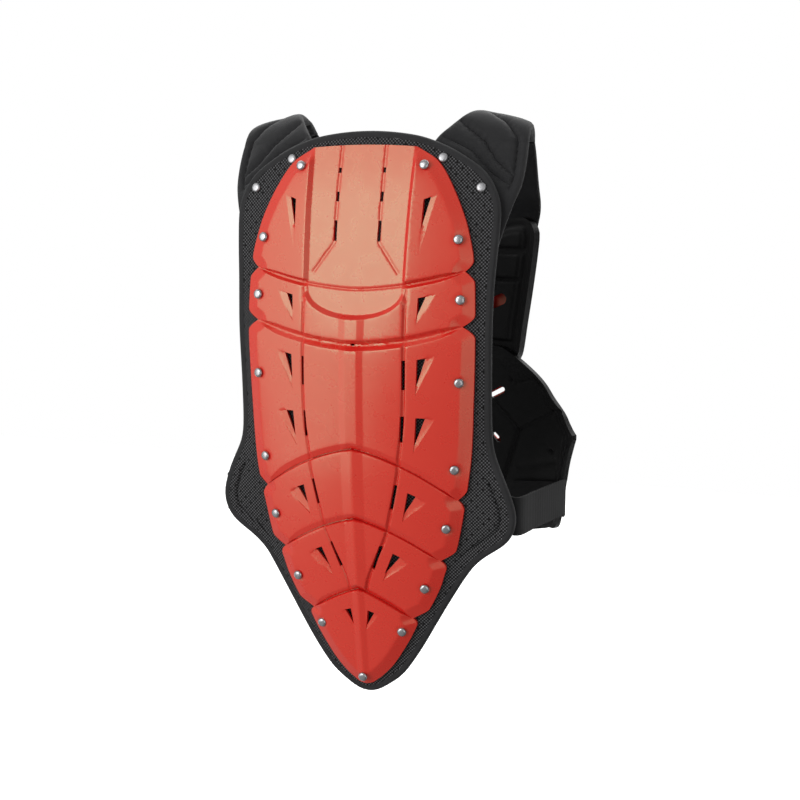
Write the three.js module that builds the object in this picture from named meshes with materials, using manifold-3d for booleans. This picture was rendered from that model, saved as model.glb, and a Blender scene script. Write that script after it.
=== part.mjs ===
// A roost deflector: a body protector worn over the shoulders, with a red moulded plate on a
// black mesh pad at the back, and foam-lined red plates at the front.
// Millimetres. +Z is up, +Y is the wearer's back, and the origin is between the shoulders,
// at the height where the shoulder pads rest.
import * as THREE from 'three';
import { mergeVertices } from 'three/addons/utils/BufferGeometryUtils.js';
import Module from 'manifold-3d';

// Back plate
const plateLength = 574;
const plateHalfWidth = 124;
const plateWall = 3;
const sectionRise = 4;
const cheekRise = 2;
const panelDepth = 6;
const panelSlope = 3.3;
const bandRise = 1.5;
const keelRise = 3;
const keelFlat = 6.3;
const keelFoot = 13;
const grooveHalf = 5.5;
const cornerCut = 8.5;
const bevelWidth = 8;
const rowPitch = 21;
const lensDepth = 27;
const lensRim = 3;
const ventEdge = 0.3;
const slotWidth = 4;
const drainHole = 3;

// Where the back lies from the shoulders, and how it curves
const restToTip = 589.5;
const restToBack = 112;
const spineSag = 38;
const crossSag = 24;

// Back pad and its binding
const padThick = 12;
const padEdgeThick = 8;
const bindingWidth = 6.5;
const bindingThick = 9;
const bindingRound = 0.3;

// Shoulder pads and the straps down to the chest
const shoulderReach = 110;
const shoulderThick = 14;
const shoulderEdgeThick = 5;
const strapThick = 3;

// Front plates and liners
const restToChest = 140;
const wingSpan = 192.5;
const wingWrap = 86;
const chestHalfWidth = 130;
const bellyFoam = 6;
const chestFoam = 8;
const frontWall = 3;
const frontMargin = 14;
const bellyPlateDrop = 38;

// Waist belts
const beltWidth = 40;
const beltThick = 2.5;

// Rivets and snaps
const capRadius = 5;
const capHeight = 3;

// Clearances between pieces
const gap = 0.4;
const seat = 0.7;

// The four long curves below hold shares of plateLength from the tip up (at), and of the named size
// that each column follows.

// How far the spine line falls forward from its crest, as shares of spineSag, and how much each
// level curves across, as shares of crossSag, with the slope of the pad beyond the plate.
const spine = [
  { at: 1.02, sag: 1.06, cross: 0.36, flank: 1.6 },
  { at: 0.88, sag: 0.49, cross: 0.39, flank: 1.6 },
  { at: 0.7, sag: 0.09, cross: 0.48, flank: 1.7 },
  { at: 0.58, sag: 0, cross: 0.6, flank: 2.3 },
  { at: 0.46, sag: 0.04, cross: 0.68, flank: 1.8 },
  { at: 0.4, sag: 0.09, cross: 0.7, flank: 0.5 },
  { at: 0.27, sag: 0.3, cross: 0.7, flank: 0.4 },
  { at: 0.13, sag: 0.6, cross: 0.7, flank: 1 },
  { at: -0.02, sag: 0.95, cross: 0.7, flank: 1 },
];
// Share of plateHalfWidth where the back turns into the slope of the pad's flanks.
const crossReach = 0.89;

// Half-width of the plate's sections, leaving out the notches.
const plateFlank = [
  { at: 0.996, half: 0.452 },
  { at: 0.973, half: 0.625 },
  { at: 0.933, half: 0.758 },
  { at: 0.874, half: 0.887 },
  { at: 0.83, half: 0.948 },
  { at: 0.804, half: 0.972 },
  { at: 0.748, half: 0.994 },
  { at: 0.656, half: 1.004 },
  { at: 0.548, half: 0.992 },
  { at: 0.456, half: 0.974 },
  { at: 0.388, half: 0.935 },
  { at: 0.294, half: 0.855 },
  { at: 0.267, half: 0.815 },
  { at: 0.243, half: 0.754 },
  { at: 0.205, half: 0.694 },
  { at: 0.158, half: 0.585 },
  { at: 0.13, half: 0.492 },
  { at: 0.099, half: 0.419 },
  { at: 0.048, half: 0.274 },
  { at: 0.022, half: 0.169 },
  { at: 0.006, half: 0.081 },
];

// The lines between sections, from the top edge to the tip: height on the centreline, height at the
// side, half-width at the side, and how straight the arms are (0 an arc, 1 straight).
const grooves = [
  { crown: 1, side: 0.996, half: 0.452, straight: 0 },
  { crown: 0.748, side: 0.782, half: 0.911, straight: 0.2 },
  { crown: 0.65, side: 0.687, half: 0.903, straight: 0.15 },
  { crown: 0.468, side: 0.376, half: 0.865, straight: 0.36 },
  { crown: 0.337, side: 0.26, half: 0.71, straight: 0.44 },
  { crown: 0.2, side: 0.144, half: 0.46, straight: 0.69 },
  { crown: 0, side: 0.006, half: 0.081, straight: 0 },
];
// What each section between two of those lines carries, as shares of the named rises.
const sections = [
  { keel: 0, panel: 1 },
  { keel: 0.4, panel: 0 },
  { keel: 1, panel: 0 },
  { keel: 1, panel: 0 },
  { keel: 0.9, panel: 0 },
  { keel: 0.6, panel: 0 },
];
// Half-width of the raised centre band.
const centreBand = [
  { at: 0.996, half: 0.437 },
  { at: 0.753, half: 0.419 },
  { at: 0.53, half: 0.427 },
  { at: 0.443, half: 0.385 },
  { at: 0.422, half: 0.378 },
  { at: 0.321, half: 0.278 },
  { at: 0.302, half: 0.255 },
  { at: 0.201, half: 0.07 },
  { at: 0, half: 0.03 },
];

// Vents, one row a pair: the shallow outer corner, the deep inner corner and the tip.
const vents = [
  { outX: 0.665, outAt: 0.914, inX: 0.559, inAt: 0.905, tipX: 0.542, tipAt: 0.806 },
  { outX: 0.701, outAt: 0.745, inX: 0.55, inAt: 0.736, tipX: 0.543, tipAt: 0.689 },
  { outX: 0.706, outAt: 0.638, inX: 0.553, inAt: 0.629, tipX: 0.543, tipAt: 0.566 },
  { outX: 0.704, outAt: 0.526, inX: 0.544, inAt: 0.526, tipX: 0.523, tipAt: 0.463 },
  { outX: 0.624, outAt: 0.372, inX: 0.466, inAt: 0.389, tipX: 0.416, tipAt: 0.334 },
  { outX: 0.461, outAt: 0.255, inX: 0.323, inAt: 0.272, tipX: 0.227, tipAt: 0.217 },
  { outX: 0.177, outAt: 0.148, inX: 0.077, inAt: 0.156, tipX: 0.05, tipAt: 0.114 },
];
// Slots, one row a pair: upper and lower end.
const slots = [
  { topX: 0.196, topAt: 0.96, lowX: 0.195, lowAt: 0.951 },
  { topX: 0.194, topAt: 0.918, lowX: 0.192, lowAt: 0.901 },
  { topX: 0.194, topAt: 0.868, lowX: 0.19, lowAt: 0.832 },
  { topX: 0.443, topAt: 0.627, lowX: 0.443, lowAt: 0.575 },
  { topX: 0.433, topAt: 0.528, lowX: 0.422, lowAt: 0.481 },
  { topX: 0.372, topAt: 0.402, lowX: 0.327, lowAt: 0.356 },
  { topX: 0.226, topAt: 0.285, lowX: 0.145, lowAt: 0.239 },
];
const drainAt = 0.651;

// Rivets through the plate, one row a pair, with the share of cheekRise under it, and the lone
// one at the tip.
const rivets = [
  { x: 0.54, at: 0.964, cheek: 0.6 },
  { x: 0.856, at: 0.837, cheek: 0.1 },
  { x: 0.89, at: 0.734, cheek: 0 },
  { x: 0.89, at: 0.59, cheek: 0 },
  { x: 0.85, at: 0.434, cheek: 0 },
  { x: 0.773, at: 0.324, cheek: 0 },
  { x: 0.58, at: 0.207, cheek: 0 },
  { x: 0.368, at: 0.118, cheek: 0 },
];
const tipRivetAt = 0.019;
// Snaps through the pad into the shoulder pads, one row a pair.
const snaps = [
  { x: 0.665, at: 0.976 },
  { x: 0.993, at: 0.925 },
];

// Half-width of the pad, binding included, from its top corner to its tip.
const padFlank = [
  { at: 1.014, half: 0.484 },
  { at: 0.997, half: 0.694 },
  { at: 0.973, half: 0.887 },
  { at: 0.952, half: 1.02 },
  { at: 0.923, half: 1.109 },
  { at: 0.893, half: 1.157 },
  { at: 0.828, half: 1.151 },
  { at: 0.759, half: 1.133 },
  { at: 0.635, half: 1.125 },
  { at: 0.53, half: 1.123 },
  { at: 0.468, half: 1.137 },
  { at: 0.443, half: 1.177 },
  { at: 0.409, half: 1.25 },
  { at: 0.379, half: 1.302 },
  { at: 0.353, half: 1.335 },
  { at: 0.321, half: 1.319 },
  { at: 0.295, half: 1.242 },
  { at: 0.276, half: 1.113 },
  { at: 0.255, half: 0.992 },
  { at: 0.226, half: 0.895 },
  { at: 0.182, half: 0.774 },
  { at: 0.139, half: 0.661 },
  { at: 0.091, half: 0.538 },
  { at: 0.048, half: 0.415 },
  { at: 0.018, half: 0.31 },
  { at: -0.004, half: 0.177 },
];
const padTopAt = 1.025;
const padTipAt = -0.021;

// Stations of a shoulder pad, from behind the back pad, over the shoulder, to its front end: the
// neck edge and the arm edge, each with its share of shoulderReach ahead of the back pad.
const shoulder = [
  { neckX: 0.6, neckAt: 0.888, neckAhead: 0, armX: 1.11, armAt: 0.806, armAhead: 0 },
  { neckX: 0.52, neckAt: 0.945, neckAhead: 0, armX: 1.185, armAt: 0.865, armAhead: 0.01 },
  { neckX: 0.5, neckAt: 0.984, neckAhead: 0.01, armX: 1.234, armAt: 0.9, armAhead: 0.03 },
  { neckX: 0.56, neckAt: 1.011, neckAhead: 0.05, armX: 1.274, armAt: 0.931, armAhead: 0.08 },
  { neckX: 0.645, neckAt: 1.032, neckAhead: 0.15, armX: 1.286, armAt: 0.968, armAhead: 0.12 },
  { neckX: 0.718, neckAt: 1.048, neckAhead: 0.25, armX: 1.282, armAt: 1.001, armAhead: 0.17 },
  { neckX: 0.77, neckAt: 1.055, neckAhead: 0.36, armX: 1.274, armAt: 1.023, armAhead: 0.26 },
  { neckX: 0.798, neckAt: 1.054, neckAhead: 0.5, armX: 1.258, armAt: 1.032, armAhead: 0.4 },
  { neckX: 0.815, neckAt: 1.046, neckAhead: 0.68, armX: 1.234, armAt: 1.027, armAhead: 0.57 },
  { neckX: 0.823, neckAt: 1.029, neckAhead: 0.84, armX: 1.21, armAt: 1.008, armAhead: 0.72 },
];
// How a front strap runs from there to the chest liner, as shares of the way forward and down.
const strapRun = [
  { forward: 0.004, drop: 0.008 },
  { forward: 0.18, drop: 0.13 },
  { forward: 0.4, drop: 0.31 },
  { forward: 0.66, drop: 0.52 },
  { forward: 0.9, drop: 0.7 },
  { forward: 1, drop: 0.84 },
  { forward: 1, drop: 1 },
];
const strapEnd = { neckX: 0.7, armX: 0.96, at: 0.851 };

// Upper and lower edge of the chest liner, by share of chestHalfWidth.
const chestEdges = [
  { x: 0, top: 0.818, low: 0.544 },
  { x: 0.23, top: 0.823, low: 0.544 },
  { x: 0.46, top: 0.841, low: 0.546 },
  { x: 0.72, top: 0.863, low: 0.565 },
  { x: 0.85, top: 0.867, low: 0.593 },
  { x: 0.9, top: 0.866, low: 0.661 },
  { x: 0.95, top: 0.86, low: 0.734 },
  { x: 0.985, top: 0.848, low: 0.792 },
  { x: 1, top: 0.838, low: 0.824 },
];
// Upper and lower edge of the belly liner and its wings, by share of wingSpan.
const bellyEdges = [
  { x: 0, top: 0.6, low: 0.238 },
  { x: 0.12, top: 0.602, low: 0.238 },
  { x: 0.24, top: 0.605, low: 0.238 },
  { x: 0.36, top: 0.607, low: 0.239 },
  { x: 0.478, top: 0.607, low: 0.24 },
  { x: 0.577, top: 0.591, low: 0.241 },
  { x: 0.706, top: 0.564, low: 0.245 },
  { x: 0.78, top: 0.544, low: 0.252 },
  { x: 0.842, top: 0.52, low: 0.26 },
  { x: 0.899, top: 0.501, low: 0.272 },
  { x: 0.93, top: 0.489, low: 0.337 },
  { x: 0.956, top: 0.475, low: 0.393 },
  { x: 0.982, top: 0.463, low: 0.428 },
  { x: 1, top: 0.457, low: 0.449 },
];
// A round-ended slot in each liner, by share of wingSpan from neck side to arm side.
const chestSlot = { nearX: 0.38, farX: 0.505, at: 0.702, high: 11 };
const bellySlot = { nearX: 0.436, farX: 0.504, at: 0.521, high: 5.5 };
// Rivets of the two front plates, one row a pair, by share of wingSpan.
const frontRivets = [
  { x: 0.55, at: 0.8, plate: 'chest' },
  { x: 0.53, at: 0.7, plate: 'chest' },
  { x: 0.42, at: 0.6, plate: 'chest' },
  { x: 0.35, at: 0.5, plate: 'belly' },
  { x: 0.68, at: 0.42, plate: 'belly' },
  { x: 0.45, at: 0.29, plate: 'belly' },
];

// Centre height of a waist belt at the hip, where it wraps round the wing, and at its inner end.
const beltAt = { hip: 0.354, wrap: 0.337, end: 0.302 };
// How far out those are: the hip by plateHalfWidth, the others by wingSpan.
const beltX = { hip: 1.09, wrap: 0.962, inside: 0.93, end: 0.582 };
const beltTurn = 10;

const red = { color: 0xc83a30, roughness: 0.35, metalness: 0 };
const blackMesh = { color: 0x2c2c2e, roughness: 0.9, metalness: 0 };
const blackCloth = { color: 0x343436, roughness: 0.85, metalness: 0 };
const blackFoam = { color: 0x151517, roughness: 0.7, metalness: 0 };
const elastic = { color: 0x303032, roughness: 0.9, metalness: 0 };
const steel = { color: 0xc8c8c8, roughness: 0.3, metalness: 1 };

const wasm = await Module();
wasm.setup();

const deflector = new THREE.Group();
// The wearer's left, then the right.
const bothSides = [1, -1];

function addPiece(name, geometry, look) {
  const mesh = new THREE.Mesh(geometry, new THREE.MeshStandardMaterial(look));
  mesh.name = name;
  deflector.add(mesh);
  return mesh;
}

// Height of a share of the plate's length, measured from its tip.
function heightAt(share) {
  return share * plateLength - restToTip;
}

function shareAt(z) {
  return (z + restToTip) / plateLength;
}

// A smooth curve through one column of a table whose 'at' values rise or fall.
function along(rows, column, at) {
  const rising = rows[0].at < rows[rows.length - 1].at;
  const list = rising ? rows : rows.slice().reverse();
  const last = list.length - 1;
  const x = THREE.MathUtils.clamp(at, list[0].at, list[last].at);
  let i = 0;
  while (i < last - 1 && x > list[i + 1].at) i += 1;
  const slope = (k) => {
    const a = list[Math.max(k - 1, 0)];
    const b = list[Math.min(k + 1, last)];
    return (b[column] - a[column]) / (b.at - a.at);
  };
  const width = list[i + 1].at - list[i].at;
  const t = (x - list[i].at) / width;
  const h1 = t * t * (3 - 2 * t);
  const h2 = t * (1 - t) * (1 - t) * width;
  const h3 = t * t * (t - 1) * width;
  return list[i][column] * (1 - h1) + list[i + 1][column] * h1 + slope(i) * h2 + slope(i + 1) * h3;
}

// Outer face of the plate's flanges and groove bottoms, which everything at the back follows.
function backY(x, z) {
  const at = shareAt(z);
  const t = Math.abs(x) / (crossReach * plateHalfWidth);
  const across = t < 1 ? t * t : 1 + along(spine, 'flank', at) * (t - 1);
  return restToBack - spineSag * along(spine, 'sag', at) - crossSag * along(spine, 'cross', at) * across;
}

function padOuterY(x, z) {
  return backY(x, z) - plateWall - seat;
}

function padHalfAt(z) {
  return plateHalfWidth * along(padFlank, 'half', shareAt(z));
}

// The pad thins towards its binding.
function padInnerY(x, z) {
  const rim = THREE.MathUtils.smoothstep(Math.abs(x) / padHalfAt(z), 0.6, 0.95);
  return padOuterY(x, z) - THREE.MathUtils.lerp(padThick, padEdgeThick, rim);
}

// A closed solid between two grids of points that have the same rows and columns.
function solidBetween(outer, inner) {
  const rows = outer.length;
  const cols = outer[0].length;
  const positions = [];
  [outer, inner].forEach((grid) => {
    grid.forEach((row) => row.forEach((p) => positions.push(p.x, p.y, p.z)));
  });
  const index = [];
  const id = (side, i, j) => side * rows * cols + i * cols + j;
  const quad = (a, b, c, d) => index.push(a, b, c, a, c, d);
  for (let i = 0; i < rows - 1; i += 1) {
    for (let j = 0; j < cols - 1; j += 1) {
      quad(id(0, i, j), id(0, i + 1, j), id(0, i + 1, j + 1), id(0, i, j + 1));
      quad(id(1, i, j), id(1, i, j + 1), id(1, i + 1, j + 1), id(1, i + 1, j));
    }
    quad(id(0, i, 0), id(1, i, 0), id(1, i + 1, 0), id(0, i + 1, 0));
    quad(id(0, i, cols - 1), id(0, i + 1, cols - 1), id(1, i + 1, cols - 1), id(1, i, cols - 1));
  }
  for (let j = 0; j < cols - 1; j += 1) {
    quad(id(0, 0, j), id(0, 0, j + 1), id(1, 0, j + 1), id(1, 0, j));
    quad(id(0, rows - 1, j), id(1, rows - 1, j), id(1, rows - 1, j + 1), id(0, rows - 1, j + 1));
  }
  return closed(positions, index);
}

// A geometry from points and triangles, turned so that its faces point out.
function closed(positions, index) {
  const p = (i) => new THREE.Vector3().fromArray(positions, 3 * i);
  let volume = 0;
  for (let i = 0; i < index.length; i += 3) {
    volume += p(index[i]).dot(p(index[i + 1]).cross(p(index[i + 2])));
  }
  const faces = volume > 0 ? index : index.slice().reverse();
  const geometry = new THREE.BufferGeometry();
  geometry.setAttribute('position', new THREE.Float32BufferAttribute(positions, 3));
  geometry.setIndex(faces);
  return geometry;
}

function toManifold(geometry) {
  const bare = geometry.clone();
  bare.deleteAttribute('normal');
  bare.deleteAttribute('uv');
  const merged = mergeVertices(bare, 1e-4);
  return new wasm.Manifold(new wasm.Mesh({
    numProp: 3,
    vertProperties: new Float32Array(merged.attributes.position.array),
    triVerts: new Uint32Array(merged.index.array),
  }));
}

function fromManifold(solid) {
  const mesh = solid.getMesh();
  const geometry = new THREE.BufferGeometry();
  geometry.setAttribute('position', new THREE.BufferAttribute(mesh.vertProperties, 3));
  geometry.setIndex(new THREE.BufferAttribute(mesh.triVerts, 1));
  return geometry;
}

function carve(geometry, extras, tools) {
  let solid = toManifold(geometry);
  extras.forEach((extra) => { solid = solid.add(toManifold(extra)); });
  tools.forEach((tool) => { solid = solid.subtract(toManifold(tool)); });
  return fromManifold(solid);
}

// One cross row of the plate: its two end points, the height on the centreline, its straightness
// and how far it stands out of the groove.
function plateRows() {
  const rows = [];
  for (let s = 0; s < sections.length; s += 1) {
    const upper = grooves[s];
    const lower = grooves[s + 1];
    const top = heightAt(upper.side);
    const low = heightAt(lower.side);
    const crown = heightAt(upper.crown);
    const foot = heightAt(lower.crown);
    const count = Math.max(2, Math.round((top - low - 2 * cornerCut) / rowPitch));
    const levels = [{ side: top, middle: crown, half: upper.half * plateHalfWidth, rise: 0 }];
    for (let k = 0; k <= count; k += 1) {
      const f = k / count;
      const side = THREE.MathUtils.lerp(top - cornerCut, low + cornerCut, f);
      const middle = THREE.MathUtils.lerp(crown - grooveHalf, foot + grooveHalf, f);
      const half = plateHalfWidth * along(plateFlank, 'half', shareAt(side));
      levels.push({ side, middle, half, rise: 1 });
    }
    levels.push({ side: low, middle: foot, half: lower.half * plateHalfWidth, rise: 0 });
    levels.forEach((level, k) => {
      if (s > 0 && k === 0) return;
      const f = (top - level.side) / (top - low);
      const straight = THREE.MathUtils.lerp(upper.straight, lower.straight, f);
      rows.push({ ...level, straight, section: sections[s] });
    });
  }
  return rows;
}

// Columns of a row from the centreline out: distance, and which rises apply there.
function plateColumns(row) {
  const reach = row.half - Math.min(bevelWidth, 0.3 * row.half);
  const band = Math.min(plateHalfWidth * along(centreBand, 'half', shareAt(row.middle)), 0.7 * reach);
  const flat = Math.min(keelFlat, 0.4 * band);
  const foot = Math.min(keelFoot, 0.75 * band);
  const step = THREE.MathUtils.lerp(Math.min(bandRise, 0.1 * band), panelSlope, row.section.panel);
  const side = (share) => THREE.MathUtils.lerp(band + step, reach, share);
  return [
    { x: 0, keel: 1, band: 1, cheek: 0, body: 1 },
    { x: flat, keel: 1, band: 1, cheek: 0, body: 1 },
    { x: foot, keel: 0, band: 1, cheek: 0, body: 1 },
    { x: band, keel: 0, band: 1, cheek: 0, body: 1 },
    { x: side(0), keel: 0, band: 0, cheek: 1, body: 1 },
    { x: side(0.33), keel: 0, band: 0, cheek: 0.67, body: 1 },
    { x: side(0.66), keel: 0, band: 0, cheek: 0.34, body: 1 },
    { x: reach, keel: 0, band: 0, cheek: 0, body: 1 },
    { x: row.half, keel: 0, band: 0, cheek: 0, body: 0 },
  ];
}

function platePoint(row, column, sign, depth) {
  const t = column.x / row.half;
  const bow = row.straight * t + (1 - row.straight) * t * t;
  const z = THREE.MathUtils.lerp(row.middle, row.side, bow);
  const x = sign * column.x;
  const { keel, panel } = row.section;
  const middle = column.band * THREE.MathUtils.lerp(bandRise, cheekRise - panelDepth, panel);
  const extra = middle + keelRise * keel * column.keel + cheekRise * panel * column.cheek;
  const rise = row.rise * (sectionRise * column.body + extra);
  return new THREE.Vector3(x, backY(x, z) + rise - depth, z);
}

function backPlate() {
  const face = (depth) => plateRows().map((row) => {
    const columns = plateColumns(row);
    const left = columns.slice(1).reverse().map((column) => platePoint(row, column, -1, depth));
    return left.concat(columns.map((column) => platePoint(row, column, 1, depth)));
  });
  const tools = [];
  bothSides.forEach((sign) => {
    vents.forEach((vent) => tools.push(ventTool(vent, sign)));
    slots.forEach((slot) => tools.push(slotTool(slot, sign)));
  });
  const drain = new THREE.BoxGeometry(drainHole, 4 * sectionRise, drainHole);
  drain.translate(0, backY(0, heightAt(drainAt)), heightAt(drainAt));
  tools.push(drain);
  tools.push(lens(0, sectionRise + cheekRise - panelDepth, 3 * sectionRise));
  const lensWall = lens(lensRim, gap - plateWall, sectionRise);
  return carve(solidBetween(face(0), face(plateWall)), [lensWall], tools);
}

// A solid in the form of the half-round lower end of the sunken centre panel, which crosses the
// first groove. It is wider by a rim all round and lies between two heights above the flanges.
function lens(rim, low, high) {
  const top = heightAt(grooves[1].crown);
  const half = plateHalfWidth * along(centreBand, 'half', grooves[1].crown) + rim;
  const rows = [0, 0.35, 0.65, 0.85, 0.97].map((share) => (
    { z: top - (lensDepth + rim) * share, half: half * Math.sqrt(1 - share * share) }
  ));
  const columns = [-1, -0.6, -0.2, 0.2, 0.6, 1];
  const face = (rise) => rows.map((row) => columns.map((column) => {
    const x = column * row.half;
    const z = row.z + 0.2 * lensDepth * column * column * (1 - row.half / plateHalfWidth);
    return new THREE.Vector3(x, backY(x, z) + rise, z);
  }));
  return solidBetween(face(high), face(low));
}

// A wedge that starts at the plate's face on its outer side and breaks through on its inner side.
function ventTool(vent, sign) {
  const corner = (x, at, out) => {
    const px = sign * x * plateHalfWidth;
    const pz = heightAt(at);
    return [px, backY(px, pz) + sectionRise + out, pz];
  };
  const above = 3 * sectionRise;
  const positions = [
    corner(vent.outX, vent.outAt, above),
    corner(vent.inX, vent.inAt, above),
    corner(vent.tipX, vent.tipAt, above),
    corner(vent.outX, vent.outAt, -ventEdge),
    corner(vent.inX, vent.inAt, -2 * plateWall),
    corner(vent.tipX, vent.tipAt, -ventEdge),
  ].flat();
  return closed(positions, [0, 1, 2, 3, 5, 4, 0, 3, 4, 0, 4, 1, 1, 4, 5, 1, 5, 2, 2, 5, 3, 2, 3, 0]);
}

function slotTool(slot, sign) {
  const top = new THREE.Vector2(sign * slot.topX * plateHalfWidth, heightAt(slot.topAt));
  const low = new THREE.Vector2(sign * slot.lowX * plateHalfWidth, heightAt(slot.lowAt));
  const middle = top.clone().add(low).multiplyScalar(0.5);
  const run = top.clone().sub(low);
  const box = new THREE.BoxGeometry(slotWidth, 8 * sectionRise, run.length());
  box.rotateY(Math.atan2(run.x, run.y));
  box.translate(middle.x, backY(middle.x, middle.y), middle.y);
  return box;
}

const padColumns = [-1, -0.8, -0.62, -0.35, 0, 0.35, 0.62, 0.8, 1];
const creaseColumn = padColumns.at(-2);

// The column that follows the line where the pad's slope changes, where a row is wide enough.
function creaseShare(half) {
  return THREE.MathUtils.clamp((crossReach * plateHalfWidth) / half, padColumns.at(-3) + 0.08, 0.92);
}

// The pad's outline, moved in from the binding's outer edge: the top edge, the right side going
// down and the tip, each a list of points in the plane of X and Z.
function padOutline(inset) {
  const sides = padFlank.map((row) => new THREE.Vector2(row.half * plateHalfWidth, heightAt(row.at)));
  const edge = (corner, middle) => padColumns.map((share) => {
    const z = THREE.MathUtils.lerp(middle, corner.y, share * share);
    return new THREE.Vector2(share * corner.x, z);
  });
  const top = edge(sides[0], heightAt(padTopAt));
  const tip = edge(sides[sides.length - 1], heightAt(padTipAt));
  const right = sides.slice(1, -1);
  const left = right.map((p) => new THREE.Vector2(-p.x, p.y)).reverse();
  const loop = [...top, ...right, ...tip.slice().reverse(), ...left];
  const moved = loop.map((p, i) => {
    const before = loop[(i + loop.length - 1) % loop.length];
    const after = loop[(i + 1) % loop.length];
    const run = after.clone().sub(before).normalize();
    return new THREE.Vector2(p.x + inset * run.y, p.y - inset * run.x);
  });
  const n = padColumns.length;
  return {
    loop: moved,
    top: moved.slice(0, n),
    right: moved.slice(n, n + right.length),
    tip: moved.slice(n + right.length, 2 * n + right.length).reverse(),
  };
}

function backPad() {
  const { top, right, tip } = padOutline(bindingWidth + gap);
  const middleTop = top[(top.length - 1) / 2].y;
  const middleTip = tip[(tip.length - 1) / 2].y;
  const rowAt = (end) => {
    const f = (right[0].y - end.y) / (right[0].y - right[right.length - 1].y);
    const margin = (right[0].y - right[1].y) * 0.6;
    const middle = THREE.MathUtils.lerp(middleTop - margin, middleTip + margin, f);
    return padColumns.map((column) => {
      const share = Math.abs(column) === creaseColumn ? Math.sign(column) * creaseShare(end.x) : column;
      const z = THREE.MathUtils.lerp(middle, end.y, share * share);
      return new THREE.Vector2(share * end.x, z);
    });
  };
  const rows = [top, ...right.map(rowAt), tip];
  const face = (depth) => rows.map((row) => row.map((p) => new THREE.Vector3(p.x, depth(p.x, p.y), p.y)));
  return solidBetween(face(padOuterY), face(padInnerY));
}

// The binding is a flat-sided bead round the pad's edge.
function backBinding() {
  const outer = padOutline(0).loop;
  const inner = padOutline(bindingWidth).loop;
  const stations = outer.map((p, i) => {
    const q = inner[i];
    const middle = padOuterY(q.x, q.y) - padEdgeThick / 2;
    const point = (share, lift) => {
      const x = THREE.MathUtils.lerp(q.x, p.x, share);
      const z = THREE.MathUtils.lerp(q.y, p.y, share);
      return new THREE.Vector3(x, middle + lift * bindingThick / 2, z);
    };
    const cornerAt = 1 - bindingRound;
    const corners = [[0, 1], [cornerAt, 1], [1, bindingRound], [1, -bindingRound], [cornerAt, -1], [0, -1]];
    return corners.map(([share, lift]) => point(share, lift));
  });
  return ring(stations);
}

// A closed loop of sections that all have the same number of points.
function ring(stations) {
  const n = stations[0].length;
  const positions = stations.flat().flatMap((p) => [p.x, p.y, p.z]);
  const index = [];
  stations.forEach((station, i) => {
    const next = (i + 1) % stations.length;
    for (let j = 0; j < n; j += 1) {
      const k = (j + 1) % n;
      index.push(i * n + j, next * n + j, next * n + k, i * n + j, next * n + k, i * n + k);
    }
  });
  return closed(positions, index);
}

// A padded or flat strip: rows of points on its middle surface, thickened along the normals.
function strip(rows, thickness) {
  const normalAt = (i, j) => {
    const up = rows[Math.min(i + 1, rows.length - 1)][j];
    const down = rows[Math.max(i - 1, 0)][j];
    const right = rows[i][Math.min(j + 1, rows[i].length - 1)];
    const left = rows[i][Math.max(j - 1, 0)];
    return up.clone().sub(down).cross(right.clone().sub(left)).normalize();
  };
  const face = (side) => rows.map((row, i) => row.map((p, j) => (
    p.clone().addScaledVector(normalAt(i, j), side * thickness(i, j) / 2)
  )));
  return solidBetween(face(1), face(-1));
}

const shoulderColumns = [0, 0.12, 0.5, 0.88, 1];

// A point in the middle of a shoulder pad, which lies against the back pad where it starts.
function shoulderPoint(x, at, ahead) {
  const z = heightAt(at);
  const back = padInnerY(x, Math.min(z, heightAt(1))) - (bindingThick - padEdgeThick) / 2;
  return new THREE.Vector3(x, back - seat - shoulderEdgeThick / 2 - ahead * shoulderReach, z);
}

function shoulderRows(sign) {
  return shoulder.map((row) => shoulderColumns.map((share) => {
    const x = sign * plateHalfWidth * THREE.MathUtils.lerp(row.neckX, row.armX, share);
    const at = THREE.MathUtils.lerp(row.neckAt, row.armAt, share);
    return shoulderPoint(x, at, THREE.MathUtils.lerp(row.neckAhead, row.armAhead, share));
  }));
}

// Thin where the back pad lies over it and at its edges, full over the shoulder.
function shoulderPad(sign) {
  const rows = shoulderRows(sign);
  const thickness = (i, j) => {
    const edge = j === 0 || j === shoulderColumns.length - 1;
    const full = i > 3 && i < rows.length - 1 && !edge;
    return full ? shoulderThick : shoulderEdgeThick;
  };
  return strip(rows, thickness);
}

// The wearer's side of the front: a curve that wraps round to the wings, and layers out from it.
function frontPoint(x, z, layer) {
  const sharp = (2 * wingWrap * x) / (wingSpan * wingSpan);
  const y = (wingWrap * x * x) / (wingSpan * wingSpan) - restToChest;
  const scale = layer / Math.hypot(1, sharp);
  return new THREE.Vector3(x + sharp * scale, y - scale, z);
}

const chestInner = bellyFoam + seat;
const chestOuter = chestInner + chestFoam;
const chestPlateInner = chestOuter + seat;
const bellyPlateInner = bellyFoam + seat;

function frontStrap(sign) {
  const start = shoulderRows(sign).at(-1);
  const columns = [0, 0.5, 1];
  const endX = [strapEnd.neckX, (strapEnd.neckX + strapEnd.armX) / 2, strapEnd.armX];
  const rows = strapRun.map((step) => columns.map((share, j) => {
    const from = start[0].clone().lerp(start.at(-1), share);
    const onChest = chestOuter + gap + strapThick / 2;
    const to = frontPoint(sign * endX[j] * chestHalfWidth, heightAt(strapEnd.at), onChest);
    const x = THREE.MathUtils.lerp(from.x, to.x, step.drop);
    const y = THREE.MathUtils.lerp(from.y - gap, to.y, step.forward);
    return new THREE.Vector3(x, y, THREE.MathUtils.lerp(from.z, to.z, step.drop));
  }));
  return strip(rows, () => strapThick);
}

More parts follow.
